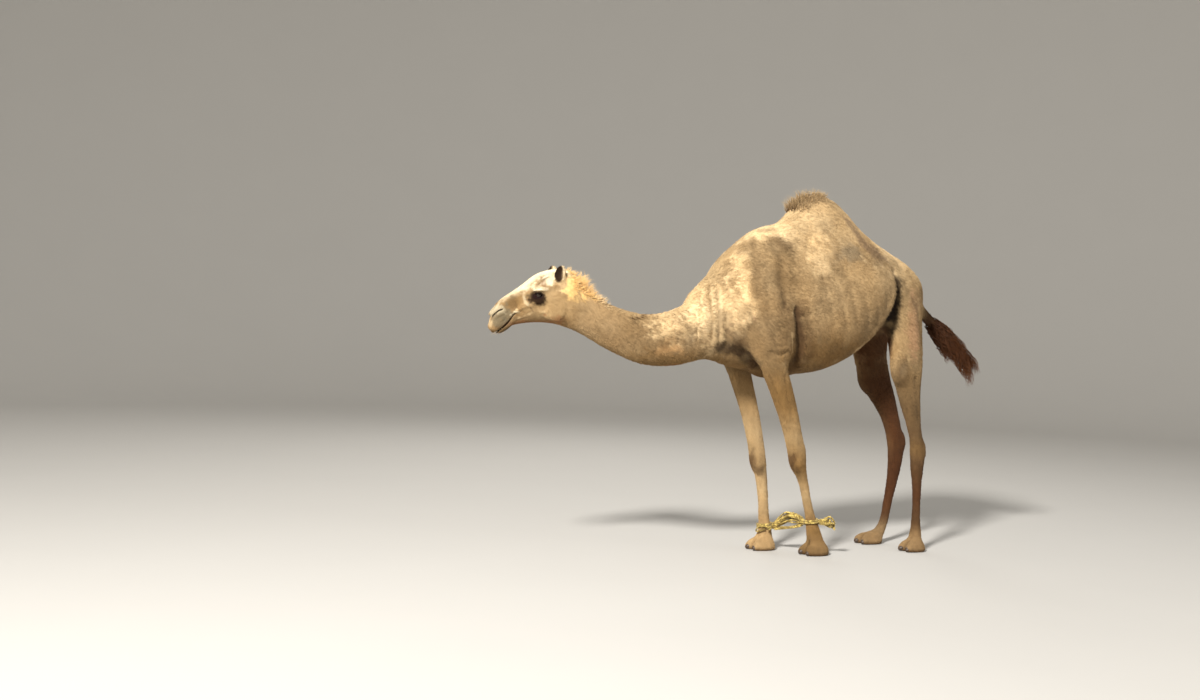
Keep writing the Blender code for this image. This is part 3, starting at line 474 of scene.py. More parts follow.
# Side view of the parted lips and of a nostril: forward, up.
MOUTH_LINE = mm([(480, 1232), (452, 1254), (420, 1277), (390, 1301), (362, 1325), (344, 1347), (330, 1368),
                 (322, 1374)])
NOSTRIL_LINE = mm([(455, 1346), (445, 1356), (428, 1374), (407, 1391), (389, 1397)])

# Forms on each side of the head: middle, half sizes, turn and blend, as Group.balls takes them.
HEAD_FORMS = (
    (190, 80, 1505, 50, 18, 17, 20, 30),        # brow
    (165, 78, 1448, 62, 17, 18, 8, 30),         # cheek bone
    (120, 56, 1400, 70, 30, 62, 10, 30),        # jaw muscle
    (407, 31, 1382, 44, 18, 26, 32, 20),        # nostril wing
    (408, 28, 1328, 50, 20, 28, 39, 20),        # upper lip
    (372, 26, 1308, 50, 18, 20, 36, 20),        # lower lip
    (325, 66, 1432, 52, 17, 34, 35, -30),       # hollow of the cheek
    (160, 100, 1545, 40, 12, 22, 15, -30),      # temple
    (262, 50, 1418, 70, 10, 7, 28, 20),         # ridge of the face
    (120, 80, 1375, 30, 12, 40, 25, 30))        # corner of the jaw


def skull_with_lips():
    head = Group()
    head.add(skull_shape())
    for side in (-1, 1):
        head.balls(HEAD_FORMS, side)
    return head


def head_shape():
    head = skull_with_lips()
    bare = skull_with_lips()
    x, y, z = EYE_AT
    for side in (-1, 1):
        ear = {'turn': -8, 'roll': -12 * side}
        head.add(Ball((0.092, side * 0.082, 1.570), (0.031, 0.0165, 0.055), **ear), 0.012)
        head.cut(Ball((0.100, side * 0.0990, 1.584), (0.0245, 0.016, 0.043), **ear), 0.003)
        head.add(Ball((x, side * 0.0655, z + 0.001), (0.033, 0.0290, 0.0275), turn=15), 0.012)
        head.add(Ball((x - 0.002, side * 0.088, z + 0.0145), (0.023, 0.0065, 0.0055), turn=10), 0.006)
        head.add(Ball((x + 0.001, side * 0.086, z - 0.0130), (0.019, 0.0060, 0.0036), turn=6), 0.006)
        head.cut(Ball((x, side * y, z), (0.0206, 0.0206, 0.0206)), 0.0005)
        head.cut(Almond(side), 0.0022)
        crease = [(x + dx, z + 0.0215 - 11 * dx * dx + 0.17 * dx)
                  for dx in (-0.022, -0.011, 0.0, 0.011, 0.022)]
        head.cut(SideOnly(Outline(crease, 0.0009, bare, 0.006, 0.05), side), 0.004)
        head.cut(SideOnly(Outline(NOSTRIL_LINE, 0.0018, bare, 0.016, 0.014), side), 0.006)
    head.cut(Outline(MOUTH_LINE, 0.0014, bare, 0.013), 0.006)
    head.cut(Outline(MOUTH_LINE[2:6], 0.0032, bare, 0.013), 0.006)
    head.cut(Ball((0.452, 0.0, 1.318), (0.016, 0.0016, 0.034), turn=15), 0.006)     # split of the lip
    return OnHead(head)


class SideOnly:
    """The part of a shape on one side of the head."""

    def __init__(self, shape, side):
        self.shape = shape
        self.side = side
        self.lo = shape.lo.copy()
        self.hi = shape.hi.copy()

    def __call__(self, p):
        return np.maximum(self.shape(p), 0.004 - p[:, 1] * self.side)


SIDE_FORMS = (
    (-690, 125, 1400, 125, 80, 240, -12, 120),      # shoulder
    (-805, 160, 1350, 50, 45, 60, 0, 60),           # its point
    (-600, 172, 1270, 105, 55, 140, 20, 50),        # upper arm
    (-552, 165, 1145, 52, 40, 62, 25, 50),          # elbow
    (195, 150, 1640, 55, 40, 30, 25, 60),           # hip bone
    (335, 105, 1440, 140, 82, 170, 15, 100))        # rump
HIND_FORMS = (
    (292, -188, 1030, 58, 42, 85, 0, 50),           # stifles
    (345, 162, 955, 52, 42, 75, 0, 50),
    (474, -170, 560, 24, 22, 50, -8, 35),           # points of the hocks
    (606, 143, 570, 24, 22, 50, -12, 35))


def flesh():
    """The whole animal without its long hair."""
    body = Group()
    body.add(trunk_shape())
    body.add(hump_shape(), 0.09)
    body.add(neck_shape(), 0.10)
    body.add(Ball((-0.50, 0.0, 1.048), (0.13, 0.085, 0.050)), 0.04)                 # breast pad
    for side in (-1, 1):
        body.balls(SIDE_FORMS, side)
    for name, rows in LEG_LINES.items():
        body.add(Limb(rows), 0.09 if 'hind' in name else 0.07)
        body.add(Pad(*FEET[name]), 0.03)
    body.balls(HIND_FORMS)
    body.add(head_shape(), 0.06)
    body.add(Limb(TAIL_LINE), 0.05)
    for middle, half_long, half_wide, _ in FEET.values():
        front = middle[0] - half_long * 0.98
        for side in (-1, 1):
            knuckle = (front + 0.030, middle[1] + side * half_wide * 0.46, ground(front) + 0.027)
            body.add(Ball(knuckle, (0.042, 0.026, 0.027), turn=-22, yaw=-16 * side), 0.016)
        toe = (front + 0.012, middle[1], ground(front) + 0.040)
        body.cut(Ball(toe, (0.052, 0.0065, 0.070), turn=-35), 0.016)                # gap between the toes
    body.cut(Underground(), 0.006)
    return body


# Middle lines of the hair's masses. Rows: x, y, z, half depth, half width.
TAIL_LINE = mm([
    (545, 0, 1400, 55, 50), (630, 0, 1342, 36, 34), (700, 0, 1288, 27, 26), (775, 0, 1230, 22, 21),
    (845, 0, 1170, 18, 17)])
NAPE_LINE = mm([
    (-1530, 95, 1455, 22, 22), (-1580, 112, 1503, 46, 30), (-1640, 130, 1540, 36, 32),
    (-1690, 148, 1562, 26, 30), (-1735, 163, 1578, 18, 20)])
SWITCH_LINES = [mm(rows) for rows in (
    [(690, 0, 1296, 28, 26), (755, 0, 1236, 46, 32), (840, 0, 1170, 54, 36), (930, 0, 1094, 53, 34),
     (1000, 0, 1020, 38, 26)],
    [(880, 0, 1140, 46, 28), (955, 0, 1085, 34, 22), (1045, 0, 1018, 27, 18), (1090, 0, 950, 8, 8)],
    [(860, 0, 1145, 40, 26), (930, -10, 1070, 32, 20), (988, -14, 975, 22, 15), (1022, -18, 885, 7, 7)],
    [(750, 0, 1230, 34, 24), (800, 8, 1165, 30, 20), (850, 18, 1085, 14, 10), (885, 26, 1030, 6, 6)])]


def nail_shape(name, side):
    """One of the two broad nails on the front of a foot."""
    (x, y), half_long, half_wide, _ = FEET[name]
    front = x - half_long * 0.90
    return Ball((front, y + side * half_wide * 0.44, ground(front) + 0.019),
                (0.022, 0.016, 0.015), turn=-20, yaw=-18 * side)


# ---------------------------------------------------------------- meshing
def gradient(shape, p, step=0.0015):
    slope = np.zeros_like(p)
    for i in range(3):
        move = np.zeros(3)
        move[i] = step
        slope[:, i] = (shape(p + move) - shape(p - move)) / (2 * step)
    return slope


def settle(shape, p, limit):
    """Points moved onto the surface, by no more than the limit."""
    slope = gradient(shape, p)
    move = -(shape(p) / ((slope ** 2).sum(1) + 1e-6))[:, None] * slope
    length = np.linalg.norm(move, axis=1) + 1e-9
    return p + move * np.minimum(1, limit / length)[:, None]


def grid_values(shape, lo, count, step):
    """Distances on a grid, worked out closely only near the surface."""
    skip = 4
    axes = [lo[i] + step * skip * np.arange(math.ceil(count[i] / skip) + 1) for i in range(3)]
    coarse = np.stack(np.meshgrid(*axes, indexing='ij'), -1)
    value = shape(coarse.reshape(-1, 3)).reshape(coarse.shape[:3])
    near = np.abs(value) < step * skip * 1.9
    touched = np.zeros(np.array(near.shape) - 1, bool)
    ends = (slice(None, -1), slice(1, None))
    for i in ends:
        for j in ends:
            for k in ends:
                touched |= near[i, j, k]
    value = value[:-1, :-1, :-1]
    for axis in range(3):
        value = np.repeat(value, skip, axis)
        touched = np.repeat(touched, skip, axis)
    value = value[:count[0], :count[1], :count[2]].copy()
    touched = touched[:count[0], :count[1], :count[2]]
    value[touched] = shape(lo + np.argwhere(touched) * step)
    return value


def surface(shape, lo, hi, step):
    """Vertices and quads of the closed surface of a shape inside a box."""
    lo = np.asarray(lo, float)
    count = np.ceil((np.asarray(hi) - lo) / step).astype(int) + 1
    value = grid_values(shape, lo, count, step)
    inside = value < 0
    corners = [(i, j, k) for i in (0, 1) for j in (0, 1) for k in (0, 1)]
    full = sum(inside[i:count[0] - 1 + i, j:count[1] - 1 + j, k:count[2] - 1 + k].astype(int)
               for i, j, k in corners)
    crossed = (full > 0) & (full < 8)
    cell = np.argwhere(crossed)
    number = np.zeros(crossed.shape, int)
    number[crossed] = np.arange(len(cell))
    total = np.zeros((len(cell), 3))
    hits = np.zeros(len(cell))
    for corner in corners:
        for axis in range(3):
            if corner[axis]:
                continue
            other = list(corner)
            other[axis] = 1
            a = value[tuple((cell + corner).T)]
            b = value[tuple((cell + other).T)]
            cut = (a < 0) != (b < 0)
            point = np.tile(np.array(corner, float), (cut.sum(), 1))
            point[:, axis] += a[cut] / (a[cut] - b[cut])
            total[cut] += point
            hits[cut] += 1
    verts = lo + (cell + total / hits[:, None]) * step
    quads = []
    for axis in range(3):
        u, v = (axis + 1) % 3, (axis + 2) % 3
        here = np.take(inside, range(count[axis] - 1), axis)
        there = np.take(inside, range(1, count[axis]), axis)
        edge = np.argwhere(here != there)
        edge = edge[(edge[:, u] > 0) & (edge[:, v] > 0)]
        edge = edge[(edge[:, u] < count[u] - 1) & (edge[:, v] < count[v] - 1)]
        ring = []
        for du, dv in ((-1, -1), (0, -1), (0, 0), (-1, 0)):
            near = edge.copy()
            near[:, u] += du
            near[:, v] += dv
            ring.append(number[tuple(near.T)])
        ring = np.stack(ring, 1)
        inward = ~inside[tuple(edge.T)]
        ring[inward] = ring[inward][:, ::-1]
        quads.append(ring)
    verts = settle(shape, verts, step * 0.5)
    return verts, np.concatenate(quads)


# ---------------------------------------------------------------- lie, folds and markings
def noise(p, size, seed=0.0):
    """Soft random values between -1 and 1 that change over this size."""
    q = np.asarray(p) / size + seed * 17.31
    cell = np.floor(q)
    f = q - cell
    f = f * f * (3 - 2 * f)
    total = np.zeros(len(q))
    for i in (0, 1):
        for j in (0, 1):
            for k in (0, 1):
                corner = cell + (i, j, k)
                value = np.sin(corner @ np.array((127.1, 311.7, 74.7)) + seed) * 43758.5453
                weight = np.abs(1 - i - f[:, 0]) * np.abs(1 - j - f[:, 1]) * np.abs(1 - k - f[:, 2])
                total += (value - np.floor(value)) * weight
    return 2 * total - 1


def colour(red, green, blue):
    """A linear colour from the usual 0 to 255 values."""
    value = np.array((red, green, blue)) / 255
    return np.where(value < 0.04045, value / 12.92, ((value + 0.055) / 1.055) ** 2.4)


CREAM = colour(232, 204, 158)
IVORY = colour(226, 212, 178)
PALE = colour(216, 188, 144)
SAND = colour(168, 142, 103)
TAN = colour(145, 119, 84)
STONE = colour(150, 136, 108)
OCHRE = colour(126, 97, 58)
DRAB = colour(110, 88, 59)
BROWN = colour(76, 53, 32)
UMBER = colour(44, 27, 15)
BLACK = colour(22, 15, 10)
RUST = colour(122, 74, 40)
PEACH = colour(204, 162, 112)
PINK = colour(168, 128, 98)
GREY = colour(132, 116, 92)
PLUM = colour(84, 65, 56)
GOLD = colour(250, 206, 130)
MAHOGANY = colour(72, 42, 22)

# Soft patches of colour, on both sides alike, among them painted shade and painted highlights: middle, radii,
# colour, strength, raggedness.
# In these six tables the lengths are in millimetres.
BODY_PATCHES = in_metres([
    # Painted shade on the underside of the neck.
    ((-1300, -50, 1050), (420, 200, 130), OCHRE, 0.75, 0.25),                   # under the neck
    ((-1235, -70, 1190), (60, 80, 35), PEACH, 0.50, 0.45),
    ((-1420, -50, 1240), (160, 100, 80), DRAB, 0.25, 0.35),
    ((-1020, -100, 1420), (170, 140, 130), PALE, 0.85, 0.40),
    ((-1180, -60, 1330), (160, 120, 90), PALE, 0.75, 0.40),
    ((-1080, -90, 1280), (50, 80, 55), GREY, 0.25, 0.35),
    ((-960, -130, 1280), (100, 120, 130), PALE, 0.60, 0.40),
    ((-600, -200, 1220), (130, 120, 180), TAN, 0.40, 0.30),
    # Painted highlight on the withers and the front of the hump.
    ((-620, -50, 1820), (150, 140, 70), PALE, 0.80, 0.45),                      # withers
    ((-420, -100, 1870), (130, 170, 120), CREAM, 0.20, 0.40),                   # front of the hump
    ((-200, -140, 1860), (180, 170, 140), PALE, 0.28, 0.30),
    ((-330, -200, 1700), (100, 120, 90), PALE, 0.55, 0.45),
    # Painted shade on the side below the hump.
    ((-100, -220, 1690), (85, 70, 50), GREY, 0.65, 0.40),
    ((-245, -240, 1610), (40, 40, 35), DRAB, 0.45, 0.40),
    ((-150, -270, 1480), (260, 100, 130), SAND, 0.30, 0.35),
    # Painted shade on the lower belly and under it.
    ((-200, -150, 1080), (400, 250, 140), OCHRE, 0.75, 0.25),                   # belly
    ((-300, 0, 1020), (350, 160, 70), BROWN, 0.45, 0.30),
    ((155, -200, 1660), (80, 80, 55), DRAB, 0.45, 0.35),                        # hip
    ((300, -120, 1660), (220, 160, 130), PALE, 0.60, 0.35),
    ((360, -200, 1450), (140, 120, 160), SAND, 0.70, 0.35),                     # top of the rump
    ((360, -220, 1280), (55, 70, 190), PINK, 0.50, 0.40),
    ((470, -150, 1300), (60, 90, 200), OCHRE, 0.45, 0.30),
    ((282, -230, 1010), (38, 60, 70), BROWN, 0.85, 0.10),
    ((278, -230, 1015), (24, 60, 46), GREY, 0.55, 0.15),                        # stifle pad
    ((-500, 0, 1005), (130, 90, 45), BROWN, 0.90, 0.12),                        # breast pad
    # Painted highlight on the point of the shoulder.
    ((-835, -200, 1380), (34, 60, 44), CREAM, 0.75, 0.45),                      # point of the shoulder
    ((-805, -225, 1338), (20, 30, 18), PINK, 0.60, 0.30),
    ((-530, -120, 1745), (45, 60, 30), BROWN, 0.55, 0.50),
    ((-600, -50, 1822), (60, 35, 20), BROWN, 0.45, 0.75)], 2)

# Bands and lines of colour along the body, among them painted shade in creases and painted highlights on
# edges: places, half width, colour, strength, raggedness.
BODY_LINES = in_metres([
    ([(-1620, 0, 1520), (-1350, 0, 1360), (-1150, 0, 1390), (-980, 0, 1500), (-850, 0, 1630)],
      60, SAND, 0.60, 0.20),
    # Painted highlight down the front of the shoulder.
    ([(-790, -90, 1680), (-825, -160, 1530), (-825, -200, 1420), (-840, -190, 1350)], 50, PALE, 0.62, 0.45),
    ([(-800, -110, 1630), (-835, -170, 1520), (-830, -200, 1430)], 20, CREAM, 0.35, 0.70),
    # Painted shade in the hollow behind the shoulder blade.
    ([(-570, -126, 1740), (-545, -170, 1654), (-570, -203, 1546), (-579, -238, 1430)],
      50, DRAB, 0.48, 0.45),
    ([(-575, -240, 1410), (-568, -243, 1330)], 18, BROWN, 0.50, 0.50),
    # Partly painted shade in the shallow furrow down the shoulder, partly dark mottling.
    ([(-680, -80, 1745), (-730, -168, 1643), (-751, -205, 1546), (-748, -220, 1460)], 26, DRAB, 0.50, 0.60),
    # Painted highlight along the rear rim of the upper arm.
    ([(-516, -227, 1410), (-523, -230, 1274), (-492, -200, 1190), (-475, -150, 1100)],
      10, PALE, 0.70, 0.25),
    # Painted shade in and behind the crease behind the elbow.
    ([(-495, -210, 1380), (-470, -210, 1283), (-437, -190, 1188), (-420, -141, 1080)],
      34, UMBER, 0.72, 0.12),
    ([(-475, -220, 1400), (-440, -210, 1300), (-400, -200, 1200), (-380, -150, 1100)],
      50, BROWN, 0.45, 0.15),
    # Painted shadow in the crease under the point of the shoulder and across the chest.
    ([(-905, -110, 1186), (-860, -120, 1172), (-800, -130, 1150), (-740, -120, 1115), (-670, -117, 1075)],
      52, UMBER * 0.7, 0.84, 0.30),
    ([(-900, -120, 1250), (-860, -140, 1225), (-800, -150, 1200)], 30, BROWN, 0.60, 0.60),
    ([(-956, -60, 1519), (-984, -111, 1386), (-975, -108, 1226)], 20, OCHRE, 0.60, 0.45),
    ([(-930, -100, 1480), (-947, -133, 1333), (-930, -106, 1198)], 18, BROWN, 0.45, 0.45),
    ([(-905, -130, 1370), (-909, -144, 1306), (-884, -119, 1197)], 18, BROWN, 0.40, 0.45),
    ([(-56, -130, 1853), (-9, -165, 1785), (76, -181, 1736), (124, -205, 1675)], 44, PLUM, 0.60, 0.45),
    # Painted highlight along the lower edge of the fold above it.
    ([(-45, -227, 1680), (27, -238, 1645), (93, -247, 1610)], 11, PALE, 0.60, 0.45),
    # Painted highlight along the raised rim of the belly.
    ([(163, -236, 1600), (183, -256, 1498), (162, -256, 1414), (102, -245, 1318), (32, -210, 1217),
      (-35, -161, 1137)], 11, PALE, 0.55, 0.12),
    # Painted shade in the deep fold between the belly and the thigh.
    ([(212, -240, 1530), (212, -235, 1430), (205, -215, 1360), (212, -186, 1300), (236, -130, 1230),
      (250, -100, 1150)], 50, UMBER * 0.3, 0.98, 0.10),
    ([(205, -230, 1560), (230, -240, 1460), (208, -235, 1370), (158, -220, 1270), (110, -180, 1170),
      (50, -130, 1090)], 22, UMBER, 0.90, 0.10),
    # Painted shade with warm painted bounce light along the underside of the neck.
    ([(-1600, 120, 1250), (-1420, 60, 1150), (-1250, 20, 1090), (-1080, 0, 1085)], 20, RUST, 0.45, 0.30)],
      2)

# Folds of the skin: places, half width, depth (negative stands out), tint, which is the strength of painted
# shade in the crease.
BODY_FOLDS = in_metres([
    ([(-680, -80, 1745), (-730, -168, 1643), (-751, -205, 1546), (-748, -220, 1460)], 28, 7, 0.15),
    ([(-570, -126, 1740), (-545, -170, 1654), (-570, -203, 1546), (-579, -238, 1400)], 36, 10.5, 0.10),
    ([(-495, -210, 1380), (-470, -210, 1283), (-437, -190, 1188), (-420, -141, 1080)], 22, 22.5, 0.30),
    ([(-880, -110, 1180), (-840, -120, 1166), (-790, -130, 1145), (-740, -120, 1115), (-670, -117, 1075)],
      34, 15, 0.12),
    ([(-956, -60, 1519), (-984, -111, 1386), (-975, -108, 1226)], 16, 6, 0.20),
    ([(-930, -100, 1480), (-947, -133, 1333), (-930, -106, 1198)], 16, 8, 0.20),
    ([(-905, -130, 1370), (-909, -144, 1306), (-884, -119, 1197)], 16, 7, 0.20),
    ([(-45, -227, 1695), (27, -238, 1662), (93, -247, 1626)], 12, 9, 0.25),
    ([(205, -230, 1580), (230, -240, 1460), (208, -235, 1370), (158, -220, 1270), (98, -190, 1170),
      (30, -140, 1090)], 26, 24, 0.25),
    ([(163, -236, 1600), (178, -256, 1498), (157, -256, 1414), (97, -245, 1318), (27, -210, 1217)],
      22, -9, 0.0),
    ([(300, -210, 1520), (400, -200, 1380), (430, -190, 1220), (420, -180, 1080)], 22, 10.5, 0.15),
    ([(-670, -236, 1160), (-640, -240, 1142), (-600, -241, 1140), (-560, -234, 1160)], 10, 9, 0.25),
    ([(-665, -240, 1185), (-620, -245, 1170), (-570, -238, 1185)], 8, -6, 0.0),
    ([(245, -225, 1098), (275, -235, 1106), (305, -235, 1094)], 14, 11, 0.60),
    ([(235, -225, 1080), (275, -235, 1088), (310, -235, 1068)], 10, 4, 0.30),
    ([(-570, -225, 1020), (-545, -222, 900), (-500, -212, 760)], 12, 7.5, 0.15),
    ([(-650, -190, 1020), (-605, -190, 900), (-545, -180, 780)], 14, 6, 0.10),
    ([(385, -220, 980), (405, -215, 860), (425, -205, 740)], 14, 9, 0.15),
    ([(-700, -240, 1520), (-690, -245, 1380), (-665, -245, 1240)], 30, 6, 0.05)], 3)


def rib_folds():
    """Faint ribs down the side of the chest."""
    folds = []
    for i in range(7):
        x = -0.40 + 0.080 * i
        places = [(x, -0.235, 1.56), (x + 0.030, -0.275, 1.42), (x + 0.070, -0.265, 1.28)]
        folds.append((places, 0.018, 0.0040, 0.06))
    return folds


def neck_folds():
    """Short slanting folds on top of the neck."""
    top = spline(mm([(-1400, -4, 1344), (-1310, -14, 1344), (-1204, -27, 1362), (-1105, -31, 1400),
                     (-1019, -55, 1462), (-972, -60, 1510)]), 3)
    folds = []
    for i, (x, y, z) in enumerate(top):
        lean = 0.012 + 0.016 * i / len(top)
        places = [(x - 0.012, y, z + 0.006), (x, y - 0.018, z - 0.010), (x + lean, y - 0.034, z - 0.032)]
        folds.append((places, 0.0085, 0.0050, 0.55))
    return folds


def throat_folds():
    """Faint folds under the neck."""
    folds = []
    for i in range(5):
        x = -1.36 + 0.085 * i
        z = 1.235 + 0.012 * abs(i - 1)
        places = [(x, -0.07, z + 0.030), (x + 0.018, -0.09, z), (x + 0.012, -0.08, z - 0.035)]
        folds.append((places, 0.014, 0.0045, 0.16))
    return folds


HEAD_PATCHES = in_metres([
    ((150, 60, 1420), (140, 80, 100), SAND, 0.70, 0.20),                        # cheek
    # Painted highlight on the forehead and the top of the face.
    ((130, 0, 1605), (150, 105, 60), IVORY, 0.95, 0.20),                        # forehead
    ((250, 0, 1545), (120, 75, 60), IVORY, 0.85, 0.25),
    ((340, 0, 1480), (120, 42, 50), IVORY, 0.62, 0.25),                         # bridge of the nose
    # Painted shade in the hollow in front of the eye.
    ((325, 47, 1442), (45, 45, 36), OCHRE, 0.60, 0.30),                         # hollow
    ((335, 42, 1430), (30, 30, 42), DRAB * 0.8, 0.70, 0.35),
    ((385, 45, 1372), (65, 50, 42), STONE * 0.52, 0.85, 0.30),                  # muzzle
    ((405, 40, 1330), (55, 50, 26), STONE * 0.52, 0.85, 0.25),
    ((425, 20, 1395), (50, 40, 26), IVORY, 0.45, 0.35),
    ((460, 10, 1330), (22, 50, 35), PALE, 0.50, 0.30),                          # upper lip
    ((430, 20, 1300), (35, 50, 12), TAN, 0.50, 0.25),
    ((365, 30, 1285), (75, 50, 26), DRAB * 0.62, 0.90, 0.25),                   # lower lip
    ((285, 50, 1350), (60, 40, 20), TAN, 0.50, 0.25),
    # Painted shade under the jaw and on the throat, with warm painted bounce light.
    ((230, 0, 1318), (150, 70, 22), RUST, 0.55, 0.25),                          # under the jaw
    ((105, 60, 1340), (50, 60, 20), RUST, 0.50, 0.40),                          # throat
    ((150, 85, 1545), (30, 30, 30), IVORY, 0.75, 0.45),                         # temple
    ((178, 83, 1532), (12, 20, 18), RUST, 0.45, 0.40),
    # Partly the dark skin and hair round the eye, partly painted shadow under the lids and lashes.
    ((217, 90, 1453), (50, 50, 32), MAHOGANY * 0.22, 0.97, 0.35),               # patch round the eye
    ((212, 92, 1470), (38, 50, 22), MAHOGANY * 0.20, 0.97, 0.10),
    ((208, 88, 1502), (34, 30, 10), IVORY, 0.95, 0.30),                         # upper lid
    ((75, 75, 1520), (40, 40, 40), PALE, 0.55, 0.45),
    ((30, 50, 1500), (45, 60, 60), GOLD, 0.55, 0.45),
    ((95, 85, 1590), (45, 40, 60), SAND, 0.70, 0.20)], 2)

HEAD_LINES = in_metres([
    # Painted highlight along the raised ridge in front of the eye.
    ([(285, 55, 1478), (276, 57, 1440), (262, 60, 1420)], 9, IVORY, 0.35, 0.50),
    ([(345, 50, 1372), (328, 52, 1388), (306, 53, 1382)], 7, IVORY, 0.80, 0.30),
    # Painted highlight along the jaw ridge, and painted shade in the crease below it.
    ([(300, 45, 1352), (240, 60, 1372), (180, 80, 1385)], 10, PALE, 0.60, 0.35),
    ([(308, 30, 1331), (240, 40, 1346), (169, 71, 1367)], 6, RUST, 0.60, 0.35),
    ([(207, 80, 1524), (182, 78, 1550), (149, 78, 1564)], 5, DRAB, 0.75, 0.35),
    # Painted shade in a short crease.
    ([(247, 62, 1404), (234, 58, 1378)], 4, BROWN, 0.70, 0.35),
    # Painted highlight along a raised ridge of the face.
    ([(318, 52, 1402), (306, 53, 1380), (312, 50, 1362)], 6, PALE, 0.65, 0.25),
    ([(235, 80, 1430), (228, 80, 1412)], 4, UMBER, 0.80, 0.30),
    ([(212, 82, 1430), (206, 82, 1406)], 4, UMBER, 0.80, 0.30),
    ([(190, 85, 1434), (184, 85, 1416)], 4, UMBER, 0.80, 0.30)], 2)

# Folds of the face, as in BODY_FOLDS; the tint is painted shade in the crease.
HEAD_FOLDS = in_metres([
    ([(88, 99, 1507), (56, 98, 1450), (50, 85, 1385)], 18, 3.6, 0.12),
    ([(308, 30, 1338), (240, 45, 1350), (169, 71, 1372)], 7, 2.5, 0.15),
    ([(247, 62, 1408), (236, 60, 1380)], 4, 2, 0.25),
    ([(285, 55, 1478), (276, 57, 1440), (255, 62, 1412), (215, 80, 1405)], 9, -3, 0.0),
    ([(420, 50, 1350), (385, 52, 1365), (350, 48, 1385)], 6, 1.8, 0.12),
    ([(400, 45, 1330), (365, 50, 1350), (335, 50, 1372)], 5, 1.6, 0.12),
    ([(322, 52, 1402), (306, 53, 1380), (306, 50, 1358)], 6, -3, 0.0)], 3)


def near_line(p, places, half):
    """How much of a soft line reaches each point, from 1 on it to 0."""
    line = np.asarray(places, float)
    close = near_box(p, line.min(0) - 3 * half, line.max(0) + 3 * half)
    reach = np.zeros(len(p))
    if len(close):
        reach[close] = np.exp(-(line_distance(p[close], line) / half) ** 2)
    return reach


def blob(p, middle, radii):
    """How much of a soft patch reaches each point: 1 well inside it, 0 outside."""
    return np.clip(1.25 - np.linalg.norm((p - middle) / radii, axis=1) * 0.75, 0, 1)


def mirrored(p):
    """Body points, with both sides brought to the animal's left."""
    return np.column_stack([p[:, 0], -np.abs(p[:, 1]), p[:, 2]])


def head_side(p):
    """Points in the head's frame, with both sides brought to one."""
    q = body_to_head(p)
    return np.column_stack([q[:, 0], np.abs(q[:, 1]), q[:, 2]])


def head_share(p):
    """From 0 on the neck to 1 on the head."""
    return ramp(body_to_head(p)[:, 0], -0.02, 0.07) * (p[:, 2] > 1.2)


def leg_share(p):
    """From 0 on the body to 1 on the legs, and whether a point belongs to a hind leg."""
    return ramp(p[:, 2], 1.10, -0.16), p[:, 0] > -0.02


def fold_depth(p):
    """How far the folds press each point in, and how much painted shade darkens it in the creases."""
    depth = np.zeros(len(p))
    tint = np.zeros(len(p))
    body_folds = BODY_FOLDS + rib_folds() + neck_folds() + throat_folds()
    for q, folds in ((mirrored(p), body_folds), (head_side(p), HEAD_FOLDS)):
        for places, half, deep, dark in folds:
            reach = near_line(q, places, half)
            depth += deep * reach
            tint = np.maximum(tint, dark * reach)
    return depth, tint


def lay_on(base, paint, share):
    return base + (paint - base) * np.clip(share, 0, 1)[:, None]


def layered(base, *layers):
    """Colours laid on a base one after the other, from pairs of paint and share."""
    for paint, share in layers:
        base = lay_on(base, paint, share)
    return base


def ragged(share, rough, p):
    """A share broken up along its edge by soft noise at three sizes."""
    grain = 0.45 * noise(p, 0.030, 1.0) + 0.35 * noise(p, 0.012, 2.0) + 0.20 * noise(p, 0.005, 3.0)
    share = ramp(share + rough * grain * 1.8 * (share > 0.02), 0.20, 0.60)
    return share * share * (3 - 2 * share)


def wander(q, p, amount):
    """Places moved about a little, so that no marking has an even edge."""
    slow = np.column_stack([noise(p, 0.11, 31.0 + i) for i in range(3)])
    quick = np.column_stack([noise(p, 0.038, 41.0 + i) for i in range(3)])
    return q + amount * (slow + 0.5 * quick)


def paint_marks(base, q, p, marks, amount):
    """Lays patches and lines of colour on a base, each moved about as far as its edge is ragged."""
    drift = wander(q, p, amount) - q
    for place, size, paint, strength, rough in marks:
        moved = q + drift * ramp(rough, 0.1, 0.3)
        if place.ndim == 1:
            share = blob(moved, place, size)
            close = share > 0
        else:
            share = near_line(moved, place, size)
            if paint.max() < 0.03:                      # the darkest lines are softer on the right side
                share = share * np.where(p[:, 1] > 0, 0.5, 1.0)
            close = share > 0.02
        if close.any():
            base[close] = lay_on(base[close], paint, strength * ragged(share[close], rough, p[close]))
    return base


